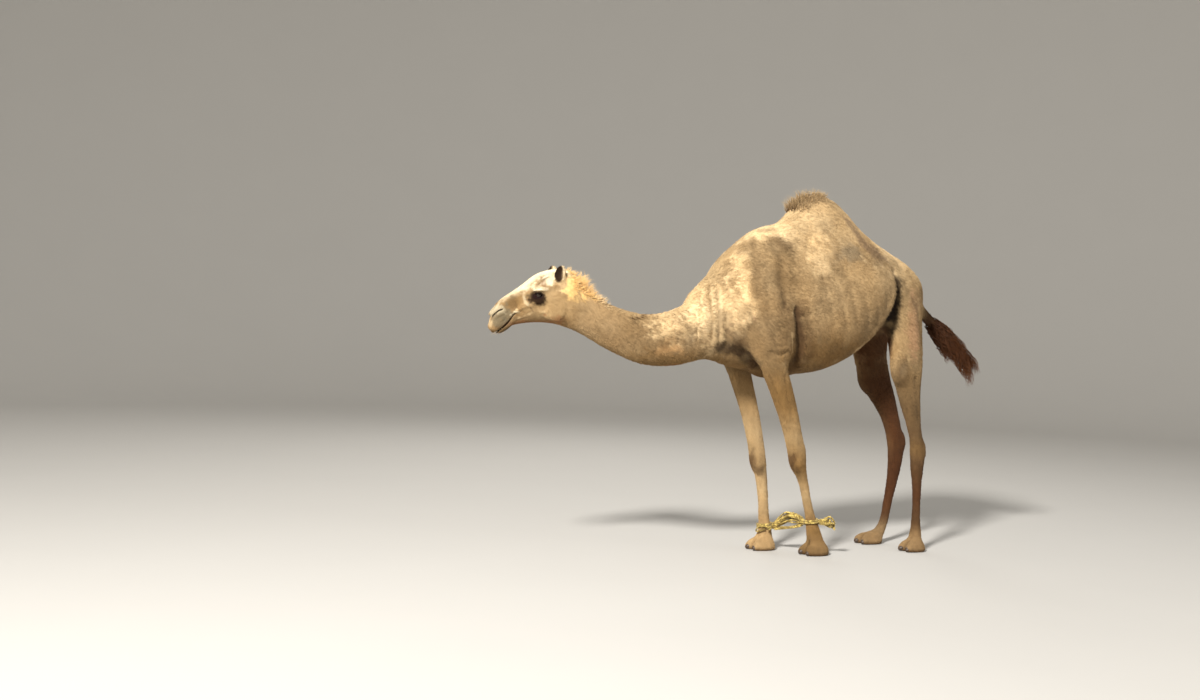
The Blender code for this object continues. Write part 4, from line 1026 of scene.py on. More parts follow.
def coat_colour(p):
    """Linear colour of the coat at points of the pose, the same for skin and tufts, with painted light and
    shade in it.
    """
    q = mirrored(p)
    # Painted light and shade: the SAND share that grows with height is the lit top, the OCHRE share low on
    # the body is the shaded underside.
    base = layered(np.tile(TAN, (len(p), 1)) * 0.92,
                   (SAND, 0.75 * ramp(p[:, 2], 1.15, 0.70)),
                   (OCHRE, 0.55 * ramp(p[:, 2], 1.35, -0.30) * (p[:, 0] > -0.95)),
                   (SAND, 0.45 * ramp(p[:, 0], 0.10, 0.15)))
    base = paint_marks(base, q, p, BODY_PATCHES + BODY_LINES, 0.030)
    base = paint_legs(paint_shade(base, q, p), p)
    head = head_share(p)
    on_head = head > 0
    if on_head.any():
        h = head_side(p[on_head])
        face = np.tile(OCHRE * 0.5 + TAN * 0.5, (len(h), 1))
        face = paint_marks(face, h, p[on_head], HEAD_PATCHES + HEAD_LINES, 0.0045)
        base[on_head] = mixed(base[on_head], paint_openings(face, h), head[on_head])
    broad = 0.5 * noise(p, 0.17, 4.0) + 0.3 * noise(p, 0.06, 5.0) + 0.2 * noise(p, 0.02, 6.0)
    base *= (1 + 0.24 * broad)[:, None]
    base *= 1 + noise(p, 0.11, 7.0)[:, None] * np.array((0.03, 0.0, -0.05))
    # The folds' tint lays painted shade along their creases.
    _, tint = fold_depth(p)
    return np.clip(lay_on(base, UMBER, tint), 0.004, 0.95)


def paint_shade(base, q, p):
    """Painted shade where the skin is folded away: groin, armpit and the inner thighs, with random darker and
    paler blotches.
    """
    x, _, z = p.T
    inner = ramp(q[:, 1], -0.175, 0.06)
    # Painted shade on the inner thighs and in the armpits.
    thigh = inner * (x > 0.0) * (x < 0.50) * ramp(z, 1.34, -0.10) * (z > 0.55)
    pit = inner * (x > -0.72) * (x < -0.36) * (z < 1.16) * (z > 0.85)
    blots = np.clip(noise(p, 0.085, 51.0) * 0.6 + noise(p, 0.035, 52.0) * 0.5 - 0.12, 0, 1)
    pale = np.clip(noise(p, 0.10, 53.0) * 0.6 + noise(p, 0.040, 54.0) * 0.4 - 0.15, 0, 1)
    return layered(base, (MAHOGANY * 1.4, 0.88 * thigh), (BROWN, 0.6 * pit), (DRAB, blots * 0.85),
                   (SAND, pale * 0.75))


def paint_openings(face, h):
    """Dark inside the ears, and painted shade in the nostrils and the mouth."""
    ear = np.linalg.norm((h - (0.103, 0.1000, 1.584)) / (0.0235, 0.024, 0.0450), axis=1)
    slit = line_distance(h[:, [0, 2]], NOSTRIL_LINE)
    mouth = line_distance(h[:, [0, 2]], MOUTH_LINE)
    aside = ramp(h[:, 1], 0.018, 0.006)
    return layered(face,
                   (IVORY, band(ear, 1.32, 0.20) * 0.7 * (h[:, 2] > 1.550)),
                   (MAHOGANY * 0.22, ramp(ear, 1.25, -0.25) * 0.98),
                   # Painted shade in the nostril slits.
                   (UMBER, np.exp(-(slit / 0.0040) ** 2) * aside * 0.85),
                   (GREY, np.exp(-((slit - 0.009) / 0.004) ** 2) * aside * 0.5),
                   # Painted shade along the parted lips.
                   (UMBER, np.exp(-(mouth / 0.0034) ** 2) * (h[:, 0] > 0.29) * 0.80))


def paint_legs(base, p):
    """The legs' colours, with painted shade on the lower fore feet, the inner sides of the hind legs and the
    far hind leg and painted light on the far fore leg; the golden nape and the dark dock of the tail.
    """
    x, y, z = p.T
    share, hind = leg_share(p)
    level = z - ground(x)
    q = wander(p, p, 0.012)
    ball = mm((30, 30, 30))
    knee = np.maximum(blob(q, mm((-472, -158, 545)), mm((26, 44, 62))),
                      blob(q, mm((-510, 160, 515)), mm((24, 42, 58))))
    pad = np.maximum(blob(q, mm((-445, -180, 500)), ball), blob(q, mm((-480, 135, 465)), ball))
    fore = layered(np.tile(OCHRE, (len(p), 1)),
                   (SAND, band(level, 0.68, 0.16) * 0.6),
                   (SAND, band(level, 0.34, 0.16) * 0.8),
                   # Painted light on the far fore foot.
                   (PALE, ramp(level, 0.17, -0.10) * np.where(y > 0, 0.12, 0.0)),
                   # Painted shade on the lower fore feet, much more on the near one.
                   (DRAB, ramp(level, 0.15, -0.08) * np.where(y > 0, 0.15, 0.65)),
                   # Painted light: the far side of the fore legs paler.
                   (PALE, ramp(y, 0, 0.04) * 0.20),
                   (BROWN, ragged(knee, 0.4, p) * 0.75),
                   (BROWN, ragged(pad, 0.4, p) * 0.6))
    inner = ramp(np.abs(y), 0.150, -0.04)
    rear = ramp(x, np.where(y < 0, 0.455, 0.575), 0.012) * (level > 0.12) * (level < 0.50)
    back = layered(np.tile(DRAB, (len(p), 1)),
                   (BROWN, ramp(level, 0.98, -0.35) * 0.60),
                   (UMBER, band(level, 0.34, 0.22) * 0.75),
                   (OCHRE, band(level, 0.60, 0.07) * 0.45),
                   (TAN, ramp(level, 0.16, -0.08) * 0.65),
                   # Painted shade on the inner sides of the hind legs.
                   (MAHOGANY, inner * ramp(level, 0.20, 0.2) * 0.75),
                   (UMBER, rear * 0.6),
                   # Painted shade on the far hind leg.
                   (MAHOGANY, ramp(y, 0, 0.04) * ramp(level, 0.10, 0.10) * 0.60),
                   (MAHOGANY, band(level, 0.33, 0.24) * 0.70))
    legs = np.where(hind[:, None], back, fore)
    streak = 0.6 * noise(p * (1, 1, 0.22), 0.016, 9.0) + 0.4 * noise(p * (1, 1, 0.5), 0.05, 10.0)
    legs *= (1 + 0.22 * streak)[:, None]
    legs = lay_on(legs, BROWN, ramp(level, 0.024, -0.012) * 0.7)
    nape = blob(p, mm((-1645, 125, 1510)), mm((75, 90, 70)))
    return layered(mixed(base, legs, share),
                   (GOLD, ragged(nape, 0.5, p) * 0.50),
                   (MAHOGANY, ramp(x, 0.59, 0.06) * 0.85 * (z > 1.1)))


NECK_LIE = mm([(-1760, 165, 1485), (-1562, 95, 1331), (-1291, 30, 1230), (-1000, 0, 1280), (-860, 0, 1345)])


def lie_of_coat(p, normal):
    """The way that the hair points, along the skin."""
    x, y, z = p.T
    way = np.tile((1.0, 0.0, -0.45), (len(p), 1))
    upper = ramp(z, 1.70, 0.2)
    way[:, 1] += 0.25 * np.sign(y) * upper
    way[:, 2] -= 0.35 * upper
    way[:, 2] -= 0.6 * ramp(z, 1.35, -0.3)
    along = unit(np.stack([np.interp(x, NECK_LIE[:, 0], np.gradient(NECK_LIE[:, i])) for i in range(3)], 1))
    along[:, 2] -= 0.35
    way = mixed(way, along, ramp(x, -0.85, -0.15))
    way = mixed(way, np.array((0.16, 0.0, -1.0)), leg_share(p)[0])
    h = head_side(p)
    face = np.column_stack([np.full(len(p), -1.0), np.full(len(p), 0.2), -0.25 + 1.2 * (h[:, 2] - 1.45)])
    ear = ramp(h[:, 2], 1.545, 0.02) * (h[:, 1] > 0.055)
    face = mixed(face, np.array((0.0, 0.25, 1.0)), ear)
    face[:, 1] *= np.sign(body_to_head(p)[:, 1])
    way = mixed(way, face @ head_axes().T, head_share(p))
    way = mixed(way, np.array((0.76, 0.0, -0.65)), ramp(x, 0.56, 0.06) * (z > 1.1))
    way = way + 0.30 * np.column_stack([noise(p, 0.12, seed) for seed in (11.0, 12.0, 13.0)])
    way -= (way * normal).sum(1)[:, None] * normal
    return unit(way)


# ---------------------------------------------------------------- the skin
SKIN_STEP = 0.0154
HEAD_STEP = 0.0046
NECK_JOIN = ((-1.60, 0.110, 1.360), (-0.787, 0.279, 0.550))     # where the finer head meets the body
JOIN_HALF = 0.0022


class Inset:
    """The flesh, drawn in by the depth of the coat, which is thin on the face and feet."""

    def __init__(self, body, deep, thin):
        self.body = body
        self.deep = deep
        self.thin = thin
        self.lo = body.lo
        self.hi = body.hi

    def __call__(self, p):
        face = head_share(p)
        low = np.clip((0.60 - p[:, 2]) / 0.40, 0, 1)
        share = np.maximum(face, low)
        return self.body(p) + self.deep + (self.thin - self.deep) * share


def grown_mesh(shape, lo, hi, step):
    verts, quads = surface(shape, np.asarray(lo), np.asarray(hi), step)
    mesh = bmesh.new()
    made = [mesh.verts.new(v) for v in verts]
    for quad in quads:
        mesh.faces.new([made[i] for i in quad])
    return mesh


def part_at_join(mesh, outer):
    """Keeps the body side (outer) or the head side of the join."""
    place, way = (Vector(v) for v in NECK_JOIN)
    way = way.normalized() * (1 if outer else -1)
    place = place - way * JOIN_HALF
    bmesh.ops.bisect_plane(mesh, geom=mesh.verts[:] + mesh.edges[:] + mesh.faces[:], dist=1e-6,
                           plane_co=place, plane_no=way, clear_outer=True)
    loose = [v for v in mesh.verts if not v.link_faces]
    bmesh.ops.delete(mesh, geom=loose, context='VERTS')


def refine(mesh, chosen):
    """Splits the edges of chosen faces in two."""
    edges = {e for f in mesh.faces if chosen(f.calc_center_median()) for e in f.edges}
    bmesh.ops.subdivide_edges(mesh, edges=list(edges), cuts=1, use_grid_fill=True)


def finer_body(c):
    on_neck = -1.56 < c.x < -0.86 and c.z > 1.0
    lower_leg = c.z < 0.40
    elbow = -0.60 < c.x < -0.36 and 1.02 < c.z < 1.44 and abs(c.y) > 0.10
    groin = -0.02 < c.x < 0.27 and 1.04 < c.z < 1.60 and abs(c.y) > 0.12
    return on_neck or lower_leg or elbow or groin


def finer_head(c):
    x, y, z = body_to_head((c.x, c.y, c.z))
    y = abs(y)
    eye = abs(x - EYE_AT[0]) < 0.032 and abs(z - EYE_AT[2]) < 0.030 and y > 0.055
    here = np.array([[x, z]])
    lips = x > 0.295 and min(line_distance(here, line)[0] for line in (MOUTH_LINE, NOSTRIL_LINE)) < 0.008
    return eye or lips


def join_meshes(first, second):
    """One mesh of two that end in facing loops, bridged."""
    extra = bpy.data.meshes.new('extra')
    second.to_mesh(extra)
    second.free()
    first.from_mesh(extra)
    bpy.data.meshes.remove(extra)
    rim = [e for e in first.edges if e.is_boundary]
    bmesh.ops.bridge_loops(first, edges=rim)
    rest = [e for e in first.edges if e.is_boundary]
    if rest:
        raise RuntimeError(f'the skin is open along {len(rest)} edges')


def vertex_array(mesh):
    mesh.verts.ensure_lookup_table()
    return np.array([v.co[:] for v in mesh.verts])


def put_back(mesh, places):
    for v, place in zip(mesh.verts, places):
        v.co = place


def skin_mesh():
    """The whole skin as one closed mesh of the pose, with its folds."""
    sizes = bpy.context.scene.camel_coat
    shape = Inset(flesh(), sizes.depth, 0.0014)
    body = grown_mesh(shape, (-1.90, -0.42, -0.08), (0.94, 0.42, 2.10), SKIN_STEP)
    part_at_join(body, True)
    refine(body, finer_body)
    corners = head_to_body([(x, y, 1.20) for x in (-0.13, 0.50) for y in (-0.13, 0.13)])
    lo = np.array((corners[:, 0].min(), corners[:, 1].min(), 1.13))
    hi = np.array((corners[:, 0].max(), corners[:, 1].max(), 1.66))
    head = grown_mesh(shape, lo, hi, HEAD_STEP)
    part_at_join(head, False)
    refine(head, finer_head)
    join_meshes(body, head)
    for _ in range(2):
        put_back(body, settle(shape, vertex_array(body), 0.0020))
    bmesh.ops.recalc_face_normals(body, faces=body.faces)
    body.normal_update()
    places = vertex_array(body)
    normals = np.array([v.normal[:] for v in body.verts])
    depth, _ = fold_depth(places)
    rough = 0.0009 * noise(places, 0.030, 21.0) * (1 - head_share(places))
    put_back(body, places - normals * (depth + rough)[:, None])
    body.normal_update()
    return body


def to_frame(p):
    """Places of the pose, brought to the frame's level floor."""
    a = -math.radians(GROUND_FALL)
    p = np.asarray(p, float)
    return np.stack([p[..., 0] * math.cos(a) + p[..., 2] * math.sin(a), p[..., 1],
                     -p[..., 0] * math.sin(a) + p[..., 2] * math.cos(a)], -1)


def frame_shift():
    """From the turned pose to the frame, found from where the left eye stands."""
    lo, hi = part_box('left_eye')
    eye = to_frame(head_to_body(EYE_AT))
    return (np.asarray(lo) + np.asarray(hi)) / 2 - eye


SHIFT = frame_shift()
LEVEL = np.array(Matrix.Rotation(-math.radians(GROUND_FALL), 3, 'Y'))


def placed(p):
    return to_frame(p) + SHIFT


def add_values(mesh, name, kind, domain, values):
    layer = mesh.attributes.new(name, kind, domain)
    key = {'FLOAT': 'value', 'INT': 'value', 'FLOAT_VECTOR': 'vector', 'FLOAT_COLOR': 'color'}[kind]
    number = np.int32 if kind == 'INT' else np.float32
    layer.data.foreach_set(key, np.ascontiguousarray(values, dtype=number).ravel())


def with_alpha(colours):
    return np.column_stack([colours, np.ones(len(colours))])


def tuft_sizes(p):
    """Length of the tufts at each place and how many stand on a square metre."""
    h = head_side(p)
    face = head_share(p)
    on_face = face > 0.5
    legs, _ = leg_share(p)
    level = p[:, 2] - ground(p[:, 0])
    around_eye = np.linalg.norm(h - EYE_AT, axis=1)
    small = 0.0105 - 0.0050 * ramp(h[:, 0], 0.22, 0.16)
    small = small + (0.0045 - small) * ramp(around_eye, 0.050, -0.02)
    length = 0.022 + 0.004 * ramp(p[:, 2], 1.75, 0.2)
    for wanted, share in ((0.015, legs), (0.010, ramp(level, 0.25, -0.2)), (small, face)):
        length = length + (wanted - length) * share
    spacing = length * (0.36 + 0.12 * legs + 0.16 * face * (1 - legs))
    side_view = h[:, [0, 2]]
    slit = np.minimum(line_distance(side_view, NOSTRIL_LINE) - 0.002, line_distance(side_view, MOUTH_LINE))
    ear = np.linalg.norm((h - (0.100, 0.0990, 1.584)) / (0.0225, 0.016, 0.041), axis=1)
    bare = (around_eye < 0.031) | (slit < 0.005) & (h[:, 0] > 0.29) | (ear < 1.15)
    return length, np.where(bare & on_face | (level < 0.016), 0.0, 1 / spacing ** 2)


COAT_PIECES = ('coat_head', 'coat_neck', 'coat_fore_legs', 'coat_hind_legs', 'coat_left_shoulder',
               'coat_right_shoulder', 'coat_left_flank', 'coat_right_flank', 'coat_back', 'coat_rump',
               'coat_throat')


def coat_piece_of(p):
    """Number in COAT_PIECES of the piece that grows on each place."""
    x, y, z = p.T
    number = COAT_PIECES.index
    piece = np.where(x < -0.42, number('coat_left_shoulder'), number('coat_left_flank')) + (y >= 0)
    for name, inside in (('coat_back', z > 1.66), ('coat_rump', (x > 0.14) & (z > 1.04)),
                         ('coat_fore_legs', (z < 1.02) & (x < -0.05)),
                         ('coat_hind_legs', (z < 1.04) & (x >= -0.05)), ('coat_neck', x < -0.90),
                         ('coat_throat', x < -1.30), ('coat_head', head_share(p) > 0.35)):
        piece[inside] = number(name)
    return piece


def read_points(data, key):
    """Places or normals of a mesh's vertices."""
    values = np.empty(3 * len(data.vertices), np.float32)
    data.vertices.foreach_get(key, values)
    return values.reshape(-1, 3).astype(float)


def add_skin():
    mesh = skin_mesh()
    data = bpy.data.meshes.new('skin')
    mesh.to_mesh(data)
    mesh.free()
    places, normals = read_points(data, 'co'), read_points(data, 'normal')
    length, crowd = tuft_sizes(places)
    centres = np.array([p.center[:] for p in data.polygons])
    add_values(data, 'coat', 'FLOAT_COLOR', 'POINT', with_alpha(coat_colour(places)))
    add_values(data, 'lie', 'FLOAT_VECTOR', 'POINT', lie_of_coat(places, normals) @ LEVEL.T)
    add_values(data, 'length', 'FLOAT', 'POINT', length)
    add_values(data, 'crowd', 'FLOAT', 'POINT', crowd)
    add_values(data, 'patch_of_coat', 'INT', 'FACE', coat_piece_of(centres))
    data.vertices.foreach_set('co', placed(places).astype(np.float32).ravel())
    data.update()
    data.shade_smooth()
    skin = add_object('skin', data)
    unwrap(skin)
    data.materials.append(coat_finish('skin', 0.0))
    return skin


def unwrap(obj):
    """Gives the piece an unwrap of its own shape, named OFBake."""
    obj.data.uv_layers.new(name='OFBake')
    bpy.context.view_layer.objects.active = obj
    for other in bpy.context.selected_objects:
        other.select_set(False)
    obj.select_set(True)
    bpy.ops.object.mode_set(mode='EDIT')
    bpy.ops.mesh.select_all(action='SELECT')
    bpy.ops.uv.smart_project(angle_limit=math.radians(60), island_margin=0.001)
    bpy.ops.object.mode_set(mode='OBJECT')
    obj.select_set(False)


# ---------------------------------------------------------------- node helpers
class Nodes:
    """Adds nodes to a tree and wires them."""

    def __init__(self, tree):
        self.tree = tree

    def fill(self, node, values):
        """Wires inputs of a node, or gives them values."""
        for key, value in values.items():
            if isinstance(value, bpy.types.NodeSocket):
                self.tree.links.new(value, node.inputs[key])
            else:
                node.inputs[key].default_value = value

    def add(self, kind, values=None, **settings):
        node = self.tree.nodes.new(kind)
        for name, value in settings.items():
            setattr(node, name, value)
        self.fill(node, values or {})
        return node

    def out(self, kind, values=None, **settings):
        """The first output of a new node."""
        return self.add(kind, values, **settings).outputs[0]

    def named(self, name, kind='FLOAT'):
        """A named attribute read as this kind of value."""
        return self.out('GeometryNodeInputNamedAttribute', {'Name': name}, data_type=kind)

    def store(self, geometry, name, kind, domain, value):
        values = {'Geometry': geometry, 'Name': name, 'Value': value}
        return self.out('GeometryNodeStoreNamedAttribute', values, data_type=kind, domain=domain)

    def math(self, how, a, b=0.0):
        return self.out('ShaderNodeMath', {0: a, 1: b}, operation=how)

    def times(self, a, b):
        return self.math('MULTIPLY', a, b)

    def scaled(self, vector, by):
        return self.out('ShaderNodeVectorMath', {0: vector, 'Scale': by}, operation='SCALE')

    def in_cell(self, size=0.003):
        """Place on the unwrap: the root's own, moved by the place within a cell of this size."""
        cell = self.scaled(self.named('cell', 'FLOAT_VECTOR'), size)
        root = self.named('root_map', 'FLOAT_VECTOR')
        return self.out('ShaderNodeVectorMath', {0: root, 1: cell}, operation='ADD')

    def spread(self, value, low, high, least=0.0):
        """A value from least to 1 made to run from low to high."""
        return self.out('ShaderNodeMapRange', {
            'Value': value, 'From Min': least, 'To Min': low, 'To Max': high})

    def place(self):
        return self.add('ShaderNodeTexCoord').outputs['Object']

    def noise(self, place, scale, detail, rough=0.5):
        return self.out('ShaderNodeTexNoise', {
            'Vector': place, 'Scale': scale, 'Detail': detail, 'Roughness': rough})

    def layer(self, name, output='Fac'):
        """A named colour or value of the mesh."""
        return self.add('ShaderNodeAttribute', attribute_name=name).outputs[output]

    def blend(self, value, low, high, ends=(0.0, 1.0)):
        """From one colour at the first end to another at the second."""
        node = self.add('ShaderNodeValToRGB', {'Fac': value})
        for stop, end, paint in zip(node.color_ramp.elements, ends, (low, high)):
            stop.position = end
            stop.color = (*paint, 1)
        return node.outputs[0]

    def bump(self, height, strength, distance):
        return self.out('ShaderNodeBump', {'Height': height, 'Strength': strength, 'Distance': distance})


def geometry_tree(name, inputs):
    """The helper of an empty Geometry Nodes tree with named inputs, and those inputs' sockets."""
    tree = bpy.data.node_groups.new(name, 'GeometryNodeTree')
    tree.interface.new_socket('Geometry', in_out='INPUT', socket_type='NodeSocketGeometry')
    for label, kind, value in inputs:
        socket = tree.interface.new_socket(label, in_out='INPUT', socket_type='NodeSocket' + kind)
        if value is not None:
            socket.default_value = value
    tree.interface.new_socket('Geometry', in_out='OUTPUT', socket_type='NodeSocketGeometry')
    nodes = Nodes(tree)
    return nodes, nodes.add('NodeGroupInput').outputs


def finish_tree(nodes, geometry, finish):
    real = nodes.out('GeometryNodeRealizeInstances', {'Geometry': geometry})
    done = nodes.out('GeometryNodeSetMaterial', {'Geometry': real, 'Material': finish})
    nodes.add('NodeGroupOutput', {0: done})
    return nodes.tree


def add_object(name, data):
    made = bpy.data.objects.new(name, data)
    bpy.context.collection.objects.link(made)
    return made


KEPT = ('position', 'OFBake', 'coat', 'tip', 'tint', 'crown', 'material_index', 'sharp_face', '.corner_vert',
        '.corner_edge', '.edge_verts')


def apply_tree(source, tree, values, name):
    """The plain mesh that a tree makes of a source object, with only the kept attributes."""
    modifier = source.modifiers.new(tree.name, 'NODES')
    modifier.node_group = tree
    sockets = {item.name: item.identifier for item in tree.interface.items_tree
               if item.item_type == 'SOCKET' and item.in_out == 'INPUT'}
    for label, value in values.items():
        modifier[sockets[label]] = value
    graph = bpy.context.evaluated_depsgraph_get()
    graph.update()
    grown = source.evaluated_get(graph)
    mesh = bpy.data.meshes.new_from_object(grown, preserve_all_data_layers=True, depsgraph=graph)
    source.modifiers.remove(modifier)
    mesh.name = name
    for layer in list(mesh.attributes):
        if layer.name not in KEPT and not layer.is_internal and not layer.is_required:
            mesh.attributes.remove(layer)
    if not len(mesh.polygons):
        raise RuntimeError(f'{name} came out empty')
    return add_object(name, mesh)


def coat_tree():
    """Tufts of short hair on the skin, along the lie of the coat."""
    nodes, given = geometry_tree('Coat of tufts', [
        ('Tuft', 'Object', None), ('Patch', 'Int', 0), ('Seed', 'Int', 0), ('Length', 'Float', 1.0),
        ('Width', 'Float', 1.0), ('Crowd', 'Float', 1.0), ('Hair', 'Material', None)])
    wanted = nodes.out('FunctionNodeCompare', {2: nodes.named('patch_of_coat', 'INT'), 3: given['Patch']},
                       data_type='INT', operation='EQUAL')
    points = nodes.add('GeometryNodeDistributePointsOnFaces', {
        'Mesh': given['Geometry'], 'Selection': wanted,
        'Density': nodes.times(nodes.named('crowd'), given['Crowd']),
        'Seed': given['Seed']}, distribute_method='RANDOM').outputs
    vector = 'FLOAT_VECTOR'
    rooted = nodes.store(points['Points'], 'root_map', vector, 'POINT', nodes.named('OFBake', vector))
    turn = nodes.out('FunctionNodeAxesToRotation', {0: points['Normal'], 1: nodes.named('lie', vector)},
                     primary_axis='Z', secondary_axis='X')
    sway = nodes.out('FunctionNodeRandomValue', {
        0: (-0.05, -0.10, -0.30), 1: (0.05, 0.10, 0.30), 'Seed': given['Seed']}, data_type=vector)
    sway = nodes.out('FunctionNodeEulerToRotation', {0: sway})
    swayed = nodes.out('FunctionNodeRotateRotation', {0: turn, 1: sway}, rotation_space='LOCAL')
    grow = nodes.add('FunctionNodeRandomValue', {2: 0.72, 3: 1.28}, data_type='FLOAT').outputs[1]
    length = nodes.times(nodes.times(nodes.named('length'), grow), given['Length'])
    scale = nodes.out('ShaderNodeCombineXYZ', {0: length, 1: nodes.times(length, given['Width']), 2: length})
    tuft = nodes.add('GeometryNodeObjectInfo', {'Object': given['Tuft'], 'As Instance': True})
    stand = nodes.out('GeometryNodeInstanceOnPoints', {
        'Points': rooted, 'Instance': tuft.outputs['Geometry'], 'Rotation': swayed, 'Scale': scale})
    shade = nodes.add('FunctionNodeRandomValue', {2: -1.0, 3: 1.0, 'Seed': 5}, data_type='FLOAT').outputs[1]
    tinted = nodes.store(stand, 'tint', 'FLOAT', 'INSTANCE', shade)
    real = nodes.out('GeometryNodeRealizeInstances', {'Geometry': tinted})
    return finish_tree(nodes, nodes.store(real, 'OFBake', 'FLOAT2', 'CORNER', nodes.in_cell()), given['Hair'])


def lock_tree():
    """Tapered locks along the lines of a mesh."""
    nodes, given = geometry_tree('Locks on lines', [('Sides', 'Int', 3), ('Hair', 'Material', None)])
    curve = nodes.out('GeometryNodeMeshToCurve', {'Mesh': given['Geometry']})
    thick = nodes.out('GeometryNodeSetCurveRadius', {'Curve': curve, 'Radius': nodes.named('half')})
    ring = nodes.out('GeometryNodeCurvePrimitiveCircle', {'Resolution': given['Sides'], 'Radius': 1.0})
    tube = nodes.add('GeometryNodeCurveToMesh', {'Curve': thick, 'Profile Curve': ring, 'Fill Caps': True})
    if 'Scale' in tube.inputs:
        nodes.fill(tube, {'Scale': nodes.named('half')})
    mapped = nodes.store(tube.outputs[0], 'OFBake', 'FLOAT2', 'CORNER', nodes.in_cell())
    return finish_tree(nodes, nodes.out('GeometryNodeSetShadeSmooth', {'Geometry': mapped}), given['Hair'])


def rope_tree():
    """Laid rope along the lines of a mesh: a lobed ring, one lobe for each strand, that turns as it goes."""
    nodes, given = geometry_tree('Laid rope', [
        ('Half thickness', 'Float', 0.0055), ('Lay', 'Float', 0.030), ('Strands', 'Float', 3.0),
        ('Fibre', 'Material', None)])
    curve = nodes.out('GeometryNodeMeshToCurve', {'Mesh': given['Geometry']})
    along = nodes.add('GeometryNodeSplineParameter').outputs['Length']
    tilt = nodes.times(nodes.math('DIVIDE', along, given['Lay']), 2 * math.pi)
    twisted = nodes.out('GeometryNodeSetCurveTilt', {'Curve': curve, 'Tilt': tilt})
    ring = nodes.out('GeometryNodeCurvePrimitiveCircle', {'Resolution': 18, 'Radius': 1.0})
    place = nodes.out('GeometryNodeInputPosition')
    parts = nodes.add('ShaderNodeSeparateXYZ', {0: place}).outputs
    lobes = nodes.times(nodes.math('ARCTAN2', parts[1], parts[0]), given['Strands'])
    wave = nodes.math('ABSOLUTE', nodes.math('COSINE', nodes.times(lobes, 0.5)))
    reach = nodes.times(nodes.math('ADD', nodes.times(wave, 0.34), 0.72), given['Half thickness'])
    lobed = nodes.out('GeometryNodeSetPosition', {'Geometry': ring, 'Position': nodes.scaled(place, reach)})
    # The crown share, how far out on its strand each point lies, gives the rope's painted shade in the
    # grooves.
    kept = nodes.store(lobed, 'crown', 'FLOAT', 'POINT', wave)
    tube = nodes.out('GeometryNodeCurveToMesh', {'Curve': twisted, 'Profile Curve': kept, 'Fill Caps': True})
    return finish_tree(nodes, nodes.out('GeometryNodeSetShadeSmooth', {'Geometry': tube}), given['Fibre'])


# ---------------------------------------------------------------- finishes
def material(name):
    made = bpy.data.materials.new(name)
    made.use_nodes = True
    return made, made.node_tree.nodes['Principled BSDF'], Nodes(made.node_tree)


def coat_finish(name, tip_light, roughness=0.78, sheen=0.03, bump=0.5):
    """Short hair or skin in the colours painted on the coat, painted light and shade among them, with fine
    hair grain.
    """
    made, shader, nodes = material(name)
    place = nodes.place()
    stretched = nodes.out('ShaderNodeMapping', {'Vector': place, 'Scale': (0.55, 1.0, 0.75)})
    hair = nodes.noise(stretched, 420.0, 3.0, 0.6)
    broad = nodes.noise(place, 38.0, 5.0, 0.62)
    light = nodes.times(nodes.spread(hair, 0.84, 1.16), nodes.spread(broad, 0.86, 1.14))
    if tip_light:
        light = nodes.times(light, nodes.spread(nodes.layer('tip'), 1 - tip_light * 0.6, 1 + tip_light))
        light = nodes.times(light, nodes.spread(nodes.layer('tint'), 0.88, 1.12, least=-1.0))
    nodes.fill(shader, {
        'Base Color': nodes.scaled(nodes.layer('coat', 'Color'), light),
        'Roughness': nodes.spread(broad, roughness - 0.10, roughness + 0.10),
        'Sheen Weight': sheen, 'Sheen Roughness': 0.45, 'Specular IOR Level': 0.11})
    if bump:
        nodes.fill(shader, {'Normal': nodes.bump(hair, bump, 0.0012)})
    return made


def horn_finish():
    made, shader, nodes = material('nail_horn')
    ridges = nodes.out('ShaderNodeMapping', {'Vector': nodes.place(), 'Scale': (1.0, 5.0, 0.35)})
    grain = nodes.noise(ridges, 160.0, 4.0)
    nodes.fill(shader, {
        'Base Color': nodes.blend(grain, colour(30, 22, 17), colour(88, 68, 50)),
        'Roughness': nodes.spread(grain, 0.35, 0.62), 'Normal': nodes.bump(grain, 0.5, 0.0008)})
    return made


def eye_finish():
    made, shader, nodes = material('eye_glaze')
    vary = nodes.spread(nodes.noise(nodes.place(), 900.0, 3.0), 0.75, 1.25)
    nodes.fill(shader, {
        'Base Color': nodes.scaled(nodes.layer('iris', 'Color'), vary),
        'Roughness': 0.12, 'Coat Weight': 0.45, 'Coat Roughness': 0.03})
    return made


def rope_finish():
    made, shader, nodes = material('hobble_fibre')
    ropes = bpy.context.scene.camel_hobble
    place = nodes.place()
    fibre = nodes.noise(place, 700.0, 4.0, 0.7)
    worn = nodes.blend(nodes.noise(place, 55.0, 4.0), ropes.soiled, ropes.straw, ends=(0.42, 0.72))
    # Painted shade in the grooves between the strands and painted highlight on their crowns, from the crown
    # share; the fibre noise is grain.
    light = nodes.times(nodes.spread(nodes.layer('crown'), 0.46, 1.25), nodes.spread(fibre, 0.72, 1.24))
    nodes.fill(shader, {
        'Base Color': nodes.scaled(worn, light), 'Roughness': 0.82, 'Sheen Weight': 0.2,
        'Normal': nodes.bump(fibre, 0.6, 0.0010)})
    return made


